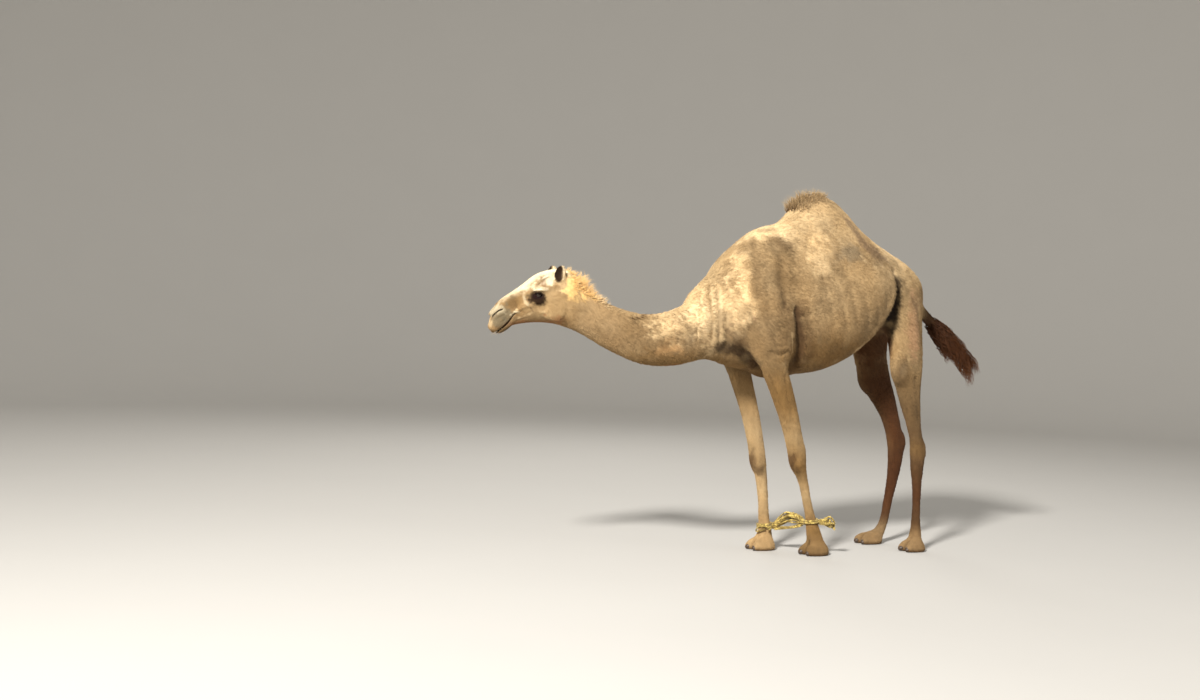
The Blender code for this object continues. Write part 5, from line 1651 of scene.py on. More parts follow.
# ---------------------------------------------------------------- the coat and the long hair
def tuft_shape():
    """Three fine spikes from one root, one unit long, lying towards +X."""
    verts, faces, tips, cells = [], [], [], []
    spikes = ((-0.060, -0.16, 0.82, 0.13), (0.0, 0.02, 1.0, 0.17), (0.060, 0.18, 0.88, 0.11))
    wide = 0.062
    for i, (aside, yaw, long, lift) in enumerate(spikes):
        way = np.array((math.cos(yaw), math.sin(yaw), lift)) * long
        root = np.array((0.0, aside, -0.05))
        start = len(verts)
        verts += [root + (0, -wide, 0), root + (0, wide, 0), root + (0, 0, wide * 0.9), root + way]
        faces += [tuple(start + j for j in face) for face in ((0, 2, 1), (0, 1, 3), (1, 2, 3), (2, 0, 3))]
        tips += [0.0, 0.0, 0.15, 1.0]
        cells += [(0.1, i / 3, 0), (0.1, i / 3 + 0.3, 0), (0.2, i / 3 + 0.15, 0), (1.0, i / 3 + 0.15, 0)]
    mesh = bpy.data.meshes.new('tuft_pattern')
    mesh.from_pydata([tuple(v) for v in verts], [], faces)
    add_values(mesh, 'tip', 'FLOAT', 'POINT', tips)
    add_values(mesh, 'cell', 'FLOAT_VECTOR', 'POINT', cells)
    return add_object('tuft_pattern', mesh)


def declare(obj, finish_slot, *nodes):
    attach(obj, 'root')
    if nodes:
        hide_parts(*nodes)


def add_coat():
    sizes = bpy.context.scene.camel_coat
    skin = bpy.data.objects['skin']
    hair = coat_finish('short_hair', sizes.tip_light, sheen=0.03, bump=0)
    tree = coat_tree()
    tuft = tuft_shape()
    crowd = sizes.crowd * 1.0
    for number, name in enumerate(COAT_PIECES):
        values = {'Tuft': tuft, 'Patch': number, 'Seed': 40 + number, 'Length': sizes.length,
                  'Width': sizes.width, 'Crowd': crowd, 'Hair': hair}
        declare(apply_tree(skin, tree, values, name), 'coat')
    bpy.data.objects.remove(tuft)


def skin_points():
    """Places and normals of the skin in the pose, and its unwrap at each of them."""
    data = bpy.data.objects['skin'].data
    corner = np.empty(len(data.loops), np.int32)
    data.loops.foreach_get('vertex_index', corner)
    maps = np.empty(2 * len(data.loops), np.float32)
    data.uv_layers['OFBake'].data.foreach_get('uv', maps)
    at = np.zeros((len(data.vertices), 2))
    at[corner] = maps.reshape(-1, 2)
    return (read_points(data, 'co') - SHIFT) @ LEVEL, read_points(data, 'normal') @ LEVEL, at


def line_object(name, lines):
    """Bare lines of places in the pose, as a mesh for a tree to work on."""
    verts, edges = [], []
    for line in lines:
        start = len(verts)
        verts += [tuple(v) for v in placed(line)]
        edges += [(start + i, start + i + 1) for i in range(len(line) - 1)]
    mesh = bpy.data.meshes.new(name + '_lines')
    mesh.from_pydata(verts, edges, [])
    return add_object(name + '_lines', mesh)


class Locks:
    """Gathers the middle lines of many locks, then makes one piece of them."""

    def __init__(self, seed):
        self.random = np.random.default_rng(seed)
        self.places, self.normals, self.at = skin_points()
        self.tree = KDTree(len(self.places))
        for i, place in enumerate(self.places):
            self.tree.insert(place, i)
        self.tree.balance()
        self.lines = []

    def nearest(self, place):
        """Number of the skin's point nearest to a place."""
        return self.tree.find(place)[1]

    def add(self, line, half, paint, tip_paint=None, blunt=0.12):
        """A lock along a line of places in the pose, half thickness at its root."""
        line = np.asarray(line, float)
        share = np.linspace(0, 1, len(line))
        taper = (1 - share ** 1.6) * (1 - blunt) + blunt * (1 - share)
        tint = self.random.uniform(-1, 1)
        root = self.at[self.nearest(line[0])]
        tip_paint = paint if tip_paint is None else tip_paint
        colours = paint + (tip_paint - paint) * (share ** 1.3)[:, None]
        self.lines.append((line, np.maximum(half * taper, half * 0.05), share, tint, (*root, 0.0), colours))

    def sprout(self, root, way, length, half, paint, tip_paint=None, fall=0.3, bend=0.15, steps=6):
        """A lock that leaves its root along a way, sags and wanders."""
        way = unit(way)
        step = length / (steps - 1)
        line = [np.asarray(root, float)]
        drift = self.random.normal(0, bend, 3)
        for _ in range(steps - 1):
            line.append(line[-1] + way * step)
            way = unit(way + np.array((0, 0, -fall / steps)) + drift / steps)
        self.add(line, half, paint, tip_paint)

    def follow(self, rows, count, half, paint, tip_paint, spread=1.0, first=(0.0, 0.45), last=(0.60, 1.0),
               wave=0.010):
        """Locks that run along a limb's line and fill its thickness."""
        line = spline(rows, 6)
        long = np.linspace(0, 1, len(line))
        for _ in range(count):
            start = self.random.uniform(*first)
            end = self.random.uniform(*last)
            share = np.linspace(start, end, 11)
            middle = np.stack([np.interp(share, long, line[:, i]) for i in range(5)], 1)
            angle = self.random.uniform(0, 2 * math.pi)
            reach = math.sqrt(self.random.uniform(0, 1)) * spread
            axis = unit(np.gradient(middle[:, :3], axis=0))
            deep = unit(np.cross((0, 1, 0), axis))
            wide = np.cross(axis, deep)
            phase = self.random.uniform(0, 6.3)
            sway = wave * np.sin(np.linspace(0, 5.5, 11) + phase)
            out = middle[:, :3] + deep * (middle[:, 3] * math.cos(angle) * reach + sway)[:, None]
            out = out + wide * (middle[:, 4] * math.sin(angle) * reach + 0.6 * sway)[:, None]
            self.add(out, half * self.random.uniform(0.6, 1.25), paint, tip_paint)

    def build(self, name, tree, hair):
        lines, halves, shares, tints, roots, colours = zip(*self.lines)
        counts = [len(line) for line in lines]
        share = np.concatenate(shares)
        source = line_object(name, lines)
        for key, kind, values in (
                ('half', 'FLOAT', np.concatenate(halves)), ('tip', 'FLOAT', share),
                ('tint', 'FLOAT', np.repeat(tints, counts)),
                ('root_map', 'FLOAT_VECTOR', np.repeat(roots, counts, axis=0)),
                ('cell', 'FLOAT_VECTOR', share[:, None] * (1, 0, 0) + (0, 0.5, 0)),
                ('coat', 'FLOAT_COLOR', with_alpha(np.concatenate(colours)))):
            add_values(source.data, key, kind, 'POINT', values)
        piece = apply_tree(source, tree, {'Sides': 3, 'Hair': hair}, name)
        bpy.data.objects.remove(source)
        return piece


def one_colour(base, paint, share):
    return lay_on(base[None], paint, np.array([share]))[0]


def crest_locks():
    """Tousled hair on top of the hump, dark in front and grey at its tips."""
    locks = Locks(7)
    random = locks.random
    x, y, z = locks.places.T
    edge_at = 0.085
    top = np.flatnonzero((z > 1.925) & (np.abs(y) < edge_at) & (np.abs(x + 0.31) < 0.17))
    thin = np.maximum(1 - (np.abs(y[top]) / edge_at) ** 2, 0.05)
    for i in random.choice(top, 1100, p=thin / thin.sum()):
        root = locks.places[i] + random.normal(0, 0.006, 3) * (1, 1, 0.2) - locks.normals[i] * 0.004
        back = ramp(root[0], -0.44, 0.28)
        lean = np.array((-0.05 + 0.75 * back, 0, 0.75 - 0.3 * back))
        way = locks.normals[i] * (0.9 - 0.5 * back) + lean + random.normal(0, 0.30, 3)
        length = random.uniform(0.050, 0.096) * (1.15 - 0.55 * back) * max(1 - 8 * abs(root[1]), 0.25)
        paint = one_colour(OCHRE, MAHOGANY, random.uniform(0.5, 1.0) * (1 - back))
        paint = one_colour(paint, TAN, min(abs(root[1]) / 0.06, 1) * 0.85)
        tip = one_colour(SAND, PALE, random.uniform(0, 1) * (0.2 + 0.8 * back))
        locks.sprout(root, way, length, random.uniform(0.0009, 0.0019), paint, tip, fall=0.5, bend=0.7)
    return locks


def nape_locks():
    """The golden tuft behind the ears, which stands out at the back of the head."""
    locks = Locks(8)
    random = locks.random
    line = spline(NAPE_LINE, 5)
    for _ in range(900):
        k = random.uniform(0, 1)
        at = np.array([np.interp(k, np.linspace(0, 1, len(line)), line[:, i]) for i in range(3)])
        down = random.uniform(0, 1) ** 1.5
        i = locks.nearest(at + (0, random.choice((-1, 1)) * (0.02 + 0.05 * down), -0.075 * down))
        root = locks.places[i] + random.normal(0, 0.004, 3) - locks.normals[i] * 0.003
        peak = math.exp(-((k - 0.46) / 0.16) ** 2) * (1 - down)
        lean = np.array((0.45 - 0.3 * peak, 0, 0.30 + 0.6 * peak - 0.5 * down))
        way = locks.normals[i] * (1.0 - 0.7 * down) + lean + random.normal(0, 0.25, 3)
        length = random.uniform(0.020, 0.042) + 0.060 * peak * random.uniform(0.4, 1)
        golden = ramp(k, 0.20, 0.15) * random.uniform(0.35, 1)
        paint = one_colour(PALE, one_colour(GOLD, RUST, random.uniform(0, 0.10)), golden)
        tip = one_colour(CREAM, GOLD, golden * 0.8)
        locks.sprout(root, way, length, random.uniform(0.0010, 0.0018), paint, tip, fall=0.4, bend=0.7)
    return locks


def neck_locks():
    """Short dark locks in slanting rows along the top of the neck."""
    locks = Locks(11)
    random = locks.random
    for places, *_ in neck_folds():
        for side in (-1, 1):
            for _ in range(16):
                k = random.uniform(0, 1)
                seed = spline(places, 5)[int(k * 9.99)] * (1, side * -np.sign(places[1][1]), 1)
                i = locks.nearest(seed + random.normal(0, 0.002, 3))
                lean = np.array((0.45, 0.5 * side, -0.55))
                way = lean + locks.normals[i] * 0.55 + random.normal(0, 0.15, 3)
                length = random.uniform(0.016, 0.032)
                locks.sprout(locks.places[i], way, length, 0.0011, BROWN, OCHRE, fall=0.5, bend=0.4)
    return locks


def tail_locks():
    """The blown switch of the tail, in three ends."""
    locks = Locks(9)
    for rows, count, half in zip(SWITCH_LINES, (470, 150, 140, 90), (0.0042, 0.0034, 0.0034, 0.0030)):
        locks.follow(rows, count, half * 0.72, RUST * 0.30, RUST * 0.58, spread=0.98, wave=0.016)
    locks.follow(TAIL_LINE, 180, 0.0026, RUST * 0.4, BROWN, first=(0.25, 0.7), last=(0.75, 1.0), wave=0.004)
    return locks


def face_locks():
    """Lashes, brow hair, whiskers and the hair in the ears."""
    locks = Locks(10)
    random = locks.random
    forward, left, up = head_axes().T

    def lid_place(x, high, clear):
        """A place on the rim of a lid."""
        out = side * (math.sqrt(LID_ARCH ** 2 - x * x - high * high) - 0.0006)
        return head_to_body(eye + (x, out, high + 0.17 * x + clear))

    def short_hair(seed, aim, tangle, least, most, half, paint, tip, fall, bend):
        """One hair on the skin nearest to a seed; the aim gives its way from the skin's normal."""
        i = locks.nearest(head_to_body(seed))
        way = aim(locks.normals[i]) + random.normal(0, tangle, 3)
        locks.sprout(locks.places[i], way, random.uniform(least, most), half, paint, tip, fall, bend)

    for side in (-1, 1):
        out = left * side
        eye = np.array((EYE_AT[0], side * EYE_AT[1], EYE_AT[2]))
        for i in range(34):
            x = -0.0165 + 0.033 * (i + random.uniform(-0.3, 0.3)) / 33
            root = lid_place(x, UPPER_LID * (1 - (x / 0.018) ** 2), 0.0008)
            way = out * 0.95 + forward * (x * 24 + 0.1) + up * 0.15
            length = random.uniform(0.013, 0.019)
            locks.sprout(root, way, length, 0.00042, BLACK, BLACK, fall=-0.75, bend=0.10)
        for i in range(22):
            x = -0.014 + 0.028 * (i + random.uniform(-0.3, 0.3)) / 21
            root = lid_place(x, LOWER_LID * (1 - (x / 0.018) ** 2), -0.0008)
            way = out + forward * x * 20 - up * 0.55
            locks.sprout(root, way, random.uniform(0.006, 0.010), 0.00034, BLACK, BLACK, fall=0.2, bend=0.1)
        for _ in range(80):
            x = random.uniform(-0.026, 0.024)
            seed = eye + (x, side * 0.018, 0.024 + random.uniform(-0.002, 0.012) + 0.15 * x)
            short_hair(seed, lambda n: n * 0.55 - forward * 0.4 + up * 0.5, 0.15,
                       0.008, 0.015, 0.0006, SAND, CREAM, 0.4, 0.3)
        for _ in range(90):
            seed = (random.uniform(0.075, 0.118), side * random.uniform(0.082, 0.100),
                    random.uniform(1.535, 1.618))
            short_hair(seed, lambda n: n * 0.35 + up * 0.8 + out * 0.35, 0.18,
                       0.006, 0.013, 0.0005, BLACK, UMBER, 0.2, 0.3)
    for _ in range(60):
        seed = (random.uniform(0.37, 0.43), random.uniform(-0.04, 0.04), random.uniform(1.262, 1.300))
        short_hair(seed, lambda n: n * 0.7 + forward * 0.3 - up * 0.4, 0.2,
                   0.010, 0.022, 0.00035, PALE, CREAM, 0.5, 0.2)
    return locks


# ---------------------------------------------------------------- eyes and nails
def add_eye(side, word, finish):
    """A dark, wet eyeball with a level pupil and a raised cornea."""
    ball = bmesh.new()
    bmesh.ops.create_uvsphere(ball, u_segments=48, v_segments=32, radius=1.0)
    axis = unit((0.30, side * 0.95, 0.02))
    level = unit(np.cross((0, 0, 1), axis))
    places = vertex_array(ball)
    near, across, tall = places @ axis, places @ level, places @ np.cross(axis, level)
    cornea = ramp(near, 0.80, 0.20)
    radius = EYE_RADIUS * (1 + 0.035 * cornea * cornea)
    iris = ramp(np.hypot(across, tall), 0.50, -0.05) * (near > 0)
    pupil = ramp(np.hypot(across / 0.30, tall / 0.17), 1.0, -0.12) * (near > 0)
    paint = np.tile(colour(26, 16, 11), (len(places), 1))
    paint = layered(paint, (colour(44, 25, 13), iris), (colour(8, 7, 8), pupil))
    mesh = bpy.data.meshes.new(word + '_eyeball')
    ball.to_mesh(mesh)
    ball.free()
    middle = np.array((EYE_AT[0], side * EYE_AT[1], EYE_AT[2]))
    where = placed(head_to_body(middle + places * radius[:, None]))
    mesh.vertices.foreach_set('co', where.astype(np.float32).ravel())
    add_values(mesh, 'iris', 'FLOAT_COLOR', 'POINT', with_alpha(paint))
    mesh.shade_smooth()
    mesh.materials.append(finish)
    make_outward(mesh)
    declare(add_object(word + '_eyeball', mesh), 'eye', word + '_eye')


def make_outward(mesh):
    """Turns a closed mesh's faces outwards."""
    work = bmesh.new()
    work.from_mesh(mesh)
    bmesh.ops.recalc_face_normals(work, faces=work.faces)
    work.to_mesh(mesh)
    work.free()


def add_nails():
    """The eight broad nails, two on each foot, as one piece."""
    verts, faces, names = [], [], []
    for name in FEET:
        for side, word in ((1, 'right'), (-1, 'left')):
            nail = Group()
            nail.add(nail_shape(name, side))
            nail.cut(Underground(), 0.002)
            places, quads = surface(nail, nail.lo - 0.004, nail.hi + 0.004, 0.0020)
            faces += [tuple(int(i) + len(verts) for i in quad) for quad in quads]
            ridge = 0.0004 * np.sin(places[:, 1] * 2600)
            verts += list(placed(places - np.array((1.0, 0, 0)) * ridge[:, None]))
            names.append(f'{name}_{word}_nail')
    mesh = bpy.data.meshes.new('toe_nails')
    mesh.from_pydata([tuple(v) for v in verts], [], faces)
    mesh.shade_smooth()
    mesh.materials.append(horn_finish())
    declare(add_object('toe_nails', mesh), 'nail', *names)


# ---------------------------------------------------------------- the hobble
RINGS = {'left': (-0.301, -0.121, 0.190), 'right': (-0.421, 0.151, 0.142)}
LINK_ROUTE = [(-0.385, 0.098, 0.150), (-0.372, 0.080, 0.166), (-0.357, 0.050, 0.192), (-0.343, 0.018, 0.213),
              (-0.333, -0.012, 0.213), (-0.322, -0.040, 0.203), (-0.315, -0.060, 0.194)]
STRAND_ROUTE = [(-0.386, 0.101, 0.122), (-0.368, 0.074, 0.128), (-0.350, 0.038, 0.135),
                (-0.335, 0.003, 0.142), (-0.323, -0.034, 0.152), (-0.316, -0.060, 0.164)]


def rope_piece(name, lines, tree, fibre, half, lay, strands=3.0):
    """Laid rope along lines of places in the pose."""
    source = line_object(name, lines)
    values = {'Half thickness': half, 'Lay': lay, 'Strands': strands, 'Fibre': fibre}
    piece = apply_tree(source, tree, values, name)
    bpy.data.objects.remove(source)
    make_outward(piece.data)
    return piece


def ring_line(body, middle, turns=2.12, steps=56):
    """The rope's middle line round a pastern."""
    line = []
    reach = np.linspace(0.01, 0.12, 221)
    for i in range(int(turns * steps) + 1):
        angle = 2 * math.pi * i / steps - 0.6
        rise = ((i / steps) - turns / 2) * ROPE_THICK * 1.02
        way = np.array((math.cos(angle), math.sin(angle), 0.0))
        start = np.asarray(middle) + (0, 0, rise)
        out = reach[np.argmax(body(start + reach[:, None] * way) > 0.0005)]
        line.append(start + way * (out + ROPE_THICK * 0.5))
    line = np.array(line)
    for _ in range(2):
        line[1:-1] = (line[:-2] + 2 * line[1:-1] + line[2:]) / 4
    return line


def knot_line(middle, size, turn, steps=110):
    """A pulled-up overhand knot, as a trefoil flattened by the strain."""
    t = np.linspace(0, 2 * math.pi, steps)
    knot = np.stack([np.sin(t) + 2 * np.sin(2 * t), np.cos(t) - 2 * np.cos(2 * t), -np.sin(3 * t) * 1.15], 1)
    turned = np.array(Matrix.Rotation(turn, 3, 'Z') @ Matrix.Rotation(turn * 0.7, 3, 'X'))
    return np.asarray(middle) + knot * np.asarray(size) @ turned.T


def add_hobble():
    ropes = bpy.context.scene.camel_hobble
    body = flesh()
    rope = (rope_tree(), rope_finish())
    half, lay = ropes.thickness / 2, ropes.thickness * 3.2
    for word, middle in RINGS.items():
        ring = rope_piece(f'{word}_pastern_rope', [ring_line(body, middle)], *rope, half, lay)
        declare(ring, 'rope', f'hobble_{word}_ring')
    ring = np.array(RINGS['left'])
    main = [knot_line(ring + mm((76, -44.3, 2)), (0.0078, 0.0062, 0.0085), 0.5),
            knot_line(ring + mm((101, -52, -16)), (0.0072, 0.0052, 0.0072), 1.4),
            spline(ring + mm([(50, -40, 6), (66, -55, 20), (85, -60, 26), (105, -64, 10), (118, -62, -12),
                              (115, -58, -34)]), 8),
            spline(ring + mm([(60, -30, -10), (80, -40, -24), (100, -52, -34), (120, -50, -30)]), 8)]
    straight = ring + mm([(28, -34, 0), (42, -46, 0), (62, -50, 0), (80, -50, -4)])
    fan = mm([(0, 10, 10), (0, -4, 16), (0, 0, 14), (0, 12, 12)])
    main += [spline(straight + lean * fan, 6) for lean in (-0.8, -0.3, 0.2, 0.7)]
    declare(rope_piece('left_pastern_knot', main, *rope, half, lay), 'rope', 'hobble_left_knot')
    ring = np.array(RINGS['right'])
    tie = [knot_line(ring + mm((-22, -73, -4)), (0.0040, 0.0034, 0.0060), 0.9),
           spline(ring + mm([(10, -55, 2), (-30, -64, 10), (-52, -46, 4), (-66, -20, -10), (-62, -6, -30),
                             (-50, -26, -26), (-30, -50, -14)]), 6)]
    knot = rope_piece('right_pastern_knot', tie, *rope, ropes.thickness * 0.40, lay)
    declare(knot, 'rope', 'hobble_right_knot')
    for name, node, route, half, strands, stiff, slack in (
            ('link_rope', 'hobble_link', LINK_ROUTE, 0.0145, 5.0, 'stiff', 'taut'),
            ('link_strand', 'hobble_strand', STRAND_ROUTE, 0.0077, 3.0, 'medium', 'loose')):
        line = spline(route, 8)
        piece = rope_piece(name, [line], *rope, half, half * 7, strands)
        declare(piece, 'rope', node)
    add_bundle(rope)
    add_fibres(main)


def add_bundle(rope):
    """Slack, matted strands that arch over the link and hang about it, tucked under both rings."""
    random = np.random.default_rng(15)
    upper = spline([(-0.398, 0.110, 0.150)] + LINK_ROUTE + [(-0.306, -0.085, 0.186)], 5)
    lower = spline([(-0.398, 0.112, 0.126)] + STRAND_ROUTE + [(-0.306, -0.084, 0.170)], 6)
    share = np.linspace(0, 1, 64)
    high, low = (np.stack([np.interp(share, np.linspace(0, 1, len(line)), line[:, k]) for k in range(3)], 1)
                 for line in (upper, lower))
    belly = np.sin(math.pi * share)[:, None]
    lines = []
    for i in range(15):
        mix = random.uniform(-0.25, 0.55) if i % 4 else random.uniform(0.6, 1.05)
        phase = random.uniform(0, 6.3, 3)
        sway = np.stack([np.sin(share * random.uniform(5, 11) + phase[k]) for k in range(3)], 1)
        drift = random.normal(0, 1, 3) * (0.011, 0.006, 0.005)
        lines.append(high * (1 - mix) + low * mix + belly * (sway * (0.009, 0.009, 0.006) + drift))
    declare(rope_piece('link_bundle', lines, *rope, 0.0046, 0.045), 'rope')


def add_fibres(lines):
    """Loose fibres that stand off the rope, and the frayed ends of the knot."""
    locks = Locks(12)
    random = locks.random
    straw = np.array(bpy.context.scene.camel_hobble.straw)
    thick = [ROPE_THICK * 0.45] * len(lines) + [0.0135, 0.0068]
    for line, out in zip(lines + [spline(LINK_ROUTE, 6), spline(STRAND_ROUTE, 6)], thick):
        for _ in range(90):
            i = random.integers(1, len(line) - 1)
            axis = unit(line[i + 1] - line[i - 1])
            way = unit(np.cross(axis, random.normal(0, 1, 3)))
            root = line[i] + way * out * 0.9
            way = way * 0.5 + axis * random.choice((-1, 1))
            locks.sprout(root, way, random.uniform(0.006, 0.018), 0.00032, straw, straw, fall=0.6, bend=0.9)
    for line in lines[2:4]:
        for _ in range(40):
            way = np.array((0.35, -0.15, -0.9)) + random.normal(0, 0.25, 3)
            root = line[-1] + random.normal(0, 0.0025, 3)
            locks.sprout(root, way, random.uniform(0.012, 0.026), 0.0006, straw, straw, fall=0.5, bend=0.6)
    piece = locks.build('hobble_fibres', lock_tree(), coat_finish('loose_fibre', 0.1, sheen=0.2, bump=0))
    declare(piece, 'rope')


# ---------------------------------------------------------------- the stage
CAMERA_AT = (-5.6225, -6.6780, 1.6)
CAMERA_TURN, CAMERA_DIP = -31.0, 3.0529         # degrees, over the sloping ground


def add_camera():
    """The camera at the viewing angle, at eye height in front and to the left."""
    data = bpy.data.cameras.new('Camera')
    data.lens = bpy.context.scene.camel_stage.lens
    data.sensor_width = 36.0
    camera = add_object('Camera', data)
    turn, tilt, fall = (math.radians(a) for a in (CAMERA_TURN, 90.0 - CAMERA_DIP, -GROUND_FALL))
    stand = Matrix.Translation(Vector(placed(CAMERA_AT))) @ Matrix.Rotation(fall, 4, 'Y')
    camera.matrix_world = stand @ (Matrix.Rotation(turn, 4, 'Z') @ Matrix.Rotation(tilt, 4, 'X'))
    bpy.context.scene.camera = camera


def add_lamp(name, place, aim, size, power, tone, spread=math.pi):
    data = bpy.data.lights.new(name, 'AREA')
    data.shape = 'DISK'
    data.size = size
    data.energy = power
    data.color = tone
    data.spread = spread
    lamp = add_object(name, data)
    lamp.location = place
    lamp.rotation_euler = (Vector(aim) - Vector(place)).to_track_quat('-Z', 'Y').to_euler()


def floor_mesh(flat=11.0, curve=6.0, around=96):
    """A round floor that curves up into a wall."""
    bend = np.linspace(0, math.pi / 2, 14)
    turned = [(flat + curve * math.sin(a), curve - curve * math.cos(a)) for a in bend]
    rings = [(2.0, 0.0), (6.0, 0.0)] + turned + [(flat + curve, 11.0)]
    turns = [2 * math.pi * i / around for i in range(around)]
    verts = [(0.0, 0.0, 0.0)] + [(r * math.cos(a), r * math.sin(a), z) for r, z in rings for a in turns]
    faces = [(0, 1 + i, 1 + (i + 1) % around) for i in range(around)]
    for low in range(1, (len(rings) - 1) * around, around):
        for i in range(around):
            j = (i + 1) % around
            faces.append((low + i, low + around + i, low + around + j, low + j))
    mesh = bpy.data.meshes.new('floor')
    mesh.from_pydata(verts, [], faces)
    mesh.shade_smooth()
    return mesh


def add_stage():
    view = bpy.context.scene.camel_stage
    made, shader, nodes = material('studio_floor')
    tone = nodes.blend(nodes.noise(nodes.place(), 1.2, 4.0), [c * 0.97 for c in view.floor], view.floor)
    nodes.fill(shader, {'Base Color': tone, 'Roughness': 0.9})
    mesh = floor_mesh()
    mesh.materials.append(made)
    add_object('floor', mesh)
    world = bpy.data.worlds.new('studio')
    world.use_nodes = True
    air = world.node_tree.nodes['Background'].inputs
    air[0].default_value = (*view.air, 1)
    air[1].default_value = view.air_power
    scene = bpy.context.scene
    scene.world = world
    scene.view_settings.view_transform = 'Standard'
    add_lamp('key', (-9.6, -6.4, 8.6), (0, 0, 1.1), 2.0, view.key_power, (1.0, 0.975, 0.94),
             math.radians(130))
    add_lamp('fill', (5.5, -5.0, 3.2), (0, 0, 1.0), 4.0, view.fill_power, (0.93, 0.96, 1.0))
    add_lamp('rim', (2.5, 6.0, 5.0), (0, 0, 1.2), 3.0, view.fill_power * 1.2, (1.0, 0.98, 0.95))


# ---------------------------------------------------------------- sizes and colours to change
class CamelCoat(bpy.types.PropertyGroup):
    """Sizes of the coat."""
    depth: FloatProperty(name="Coat depth", description="How deep the skin lies under the coat",
                         default=0.0032, unit='LENGTH')
    length: FloatProperty(name="Tuft length", description="Share of the usual length of the tufts",
                          default=1.0)
    width: FloatProperty(name="Tuft width", description="Share of the usual width of the tufts",
                         default=1.0)
    crowd: FloatProperty(name="Crowding", description="Share of the usual number of tufts", default=1.0)
    tip_light: FloatProperty(name="Pale tips", description="How much paler the tips are than the roots",
                             default=0.16)


class CamelHobble(bpy.types.PropertyGroup):
    """Sizes and colours of the rope hobble."""
    thickness: FloatProperty(name="Rope thickness", description="Thickness of the rope round the pasterns",
                             default=ROPE_THICK, unit='LENGTH')
    straw: FloatVectorProperty(name="Clean fibre", description="Colour of the clean fibre",
                               subtype='COLOR', default=tuple(colour(228, 200, 110)))
    soiled: FloatVectorProperty(name="Soiled fibre", description="Colour where the rope is soiled",
                                subtype='COLOR', default=tuple(colour(122, 100, 42)))


class CamelStage(bpy.types.PropertyGroup):
    """Camera, light and floor."""
    lens: FloatProperty(name="Lens", description="Focal length of the camera in millimetres", default=45.0)
    floor: FloatVectorProperty(name="Floor", description="Colour of the floor",
                               subtype='COLOR', default=(0.50, 0.485, 0.455))
    air: FloatVectorProperty(name="Background", description="Colour of the air",
                             subtype='COLOR', default=(0.92, 0.88, 0.82))
    air_power: FloatProperty(name="Background light", description="Strength of the light all round",
                             default=0.46)
    key_power: FloatProperty(name="Key light", description="Power of the main lamp in watts", default=1850.0)
    fill_power: FloatProperty(name="Fill light", description="Power of the soft lamps in watts", default=90.0)


# ---------------------------------------------------------------- operators
class CAMEL_OT_camera(bpy.types.Operator):
    """Set up the camera"""
    bl_idname = "camel.camera"
    bl_label = "Camera"

    def execute(self, context):
        add_camera()
        return {'FINISHED'}


class CAMEL_OT_skin(bpy.types.Operator):
    """Make the one skin with its folds and markings"""
    bl_idname = "camel.skin"
    bl_label = "Skin"

    def execute(self, context):
        skin = add_skin()
        flesh_nodes = ['trunk', 'hump', 'neck', 'head', 'lower_jaw', 'left_ear', 'right_ear', 'tail']
        for side in ('left', 'right'):
            flesh_nodes += [f'{side}_fore_{part}' for part in ('foot', 'cannon', 'forearm')]
            flesh_nodes += [f'{side}_hind_{part}' for part in ('foot', 'cannon', 'thigh')]
        declare(skin, 'coat', *flesh_nodes)
        return {'FINISHED'}


class CAMEL_OT_hobble(bpy.types.Operator):
    """Tie the rope hobble round the fore pasterns"""
    bl_idname = "camel.hobble"
    bl_label = "Hobble"

    def execute(self, context):
        add_hobble()
        return {'FINISHED'}


class CAMEL_OT_coat(bpy.types.Operator):
    """Grow the short coat on the skin"""
    bl_idname = "camel.coat"
    bl_label = "Coat"

    def execute(self, context):
        add_coat()
        return {'FINISHED'}


class CAMEL_OT_long_hair(bpy.types.Operator):
    """Grow the crest, the nape tuft, the tail's switch, the lashes and the whiskers"""
    bl_idname = "camel.long_hair"
    bl_label = "Long hair"

    def execute(self, context):
        tree = lock_tree()
        hair = coat_finish('long_hair', 0.20, roughness=0.66, sheen=0.03, bump=0)
        for name, locks, slot, nodes in (('crest_hair', crest_locks(), 'crest_hair', ('hump_crest',)),
                                         ('nape_hair', nape_locks(), 'nape_hair', ('nape_tuft',)),
                                         ('tail_hair', tail_locks(), 'tail_hair', ('tail_switch',)),
                                         ('neck_hair', neck_locks(), 'coat', ()),
                                         ('face_hair', face_locks(), 'coat', ())):
            declare(locks.build(name, tree, hair), slot, *nodes)
        return {'FINISHED'}


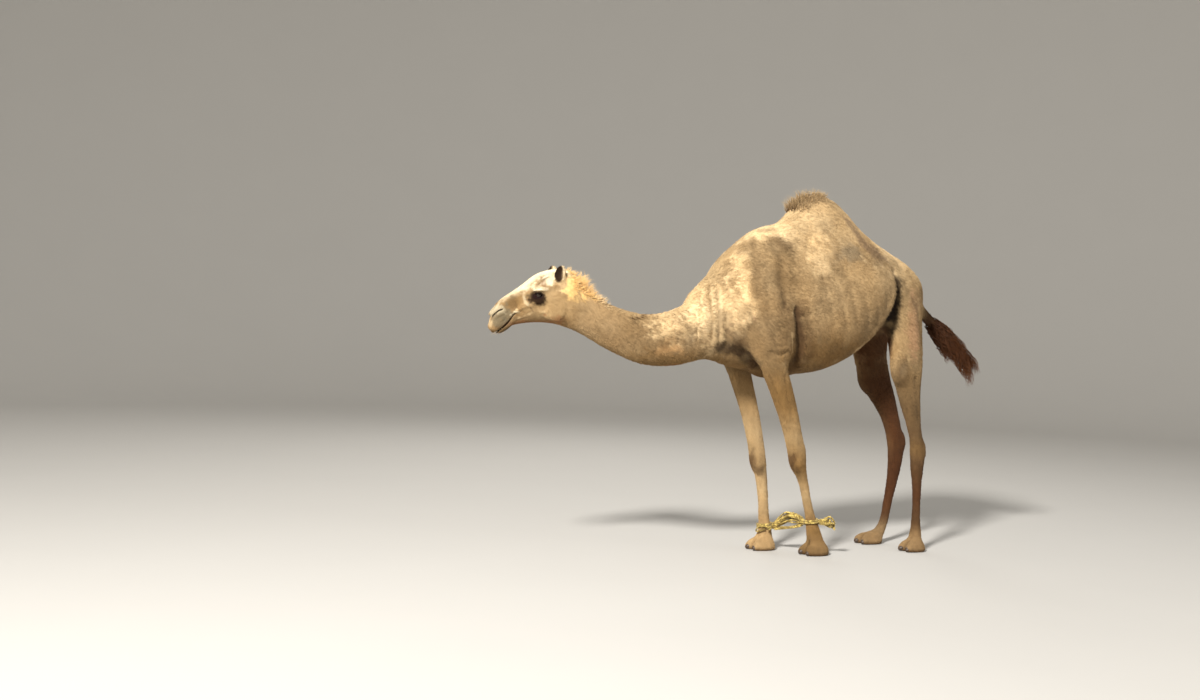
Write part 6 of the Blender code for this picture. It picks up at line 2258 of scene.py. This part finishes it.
class CAMEL_OT_eyes(bpy.types.Operator):
    """Set the eyes in their lids"""
    bl_idname = "camel.eyes"
    bl_label = "Eyes"

    def execute(self, context):
        finish = eye_finish()
        for side, word in ((1, 'left'), (-1, 'right')):
            add_eye(side, word, finish)
        return {'FINISHED'}


class CAMEL_OT_nails(bpy.types.Operator):
    """Make the horny nails of the feet"""
    bl_idname = "camel.nails"
    bl_label = "Nails"

    def execute(self, context):
        add_nails()
        return {'FINISHED'}


class CAMEL_OT_stage(bpy.types.Operator):
    """Lay the floor and set the lights"""
    bl_idname = "camel.stage"
    bl_label = "Stage"

    def execute(self, context):
        add_stage()
        return {'FINISHED'}


class CAMEL_PT_panel(bpy.types.Panel):
    """Lists the sizes and the steps"""
    bl_idname = "CAMEL_PT_panel"
    bl_label = "Dromedary camel"
    bl_space_type = 'VIEW_3D'
    bl_region_type = 'UI'
    bl_category = "Camel"

    def draw(self, context):
        for group in (context.scene.camel_coat, context.scene.camel_hobble, context.scene.camel_stage):
            box = self.layout.box()
            for name in group.__annotations__:
                box.prop(group, name)
        for step in STEPS:
            self.layout.operator(step.bl_idname)


STEPS = (CAMEL_OT_camera, CAMEL_OT_skin, CAMEL_OT_hobble, CAMEL_OT_coat, CAMEL_OT_long_hair, CAMEL_OT_eyes,
         CAMEL_OT_nails, CAMEL_OT_stage)
GROUPS = {'camel_coat': CamelCoat, 'camel_hobble': CamelHobble, 'camel_stage': CamelStage}


def register():
    for name, group in GROUPS.items():
        bpy.utils.register_class(group)
        setattr(bpy.types.Scene, name, PointerProperty(type=group))
    for step in STEPS:
        bpy.utils.register_class(step)
    bpy.utils.register_class(CAMEL_PT_panel)


def unregister():
    bpy.utils.unregister_class(CAMEL_PT_panel)
    for step in reversed(STEPS):
        bpy.utils.unregister_class(step)
    for name, group in GROUPS.items():
        delattr(bpy.types.Scene, name)
        bpy.utils.unregister_class(group)


def main():
    register()
    for step in STEPS:
        group, action = step.bl_idname.split('.')
        getattr(getattr(bpy.ops, group), action)()
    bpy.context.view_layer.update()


if __name__ == '__main__':
    main()
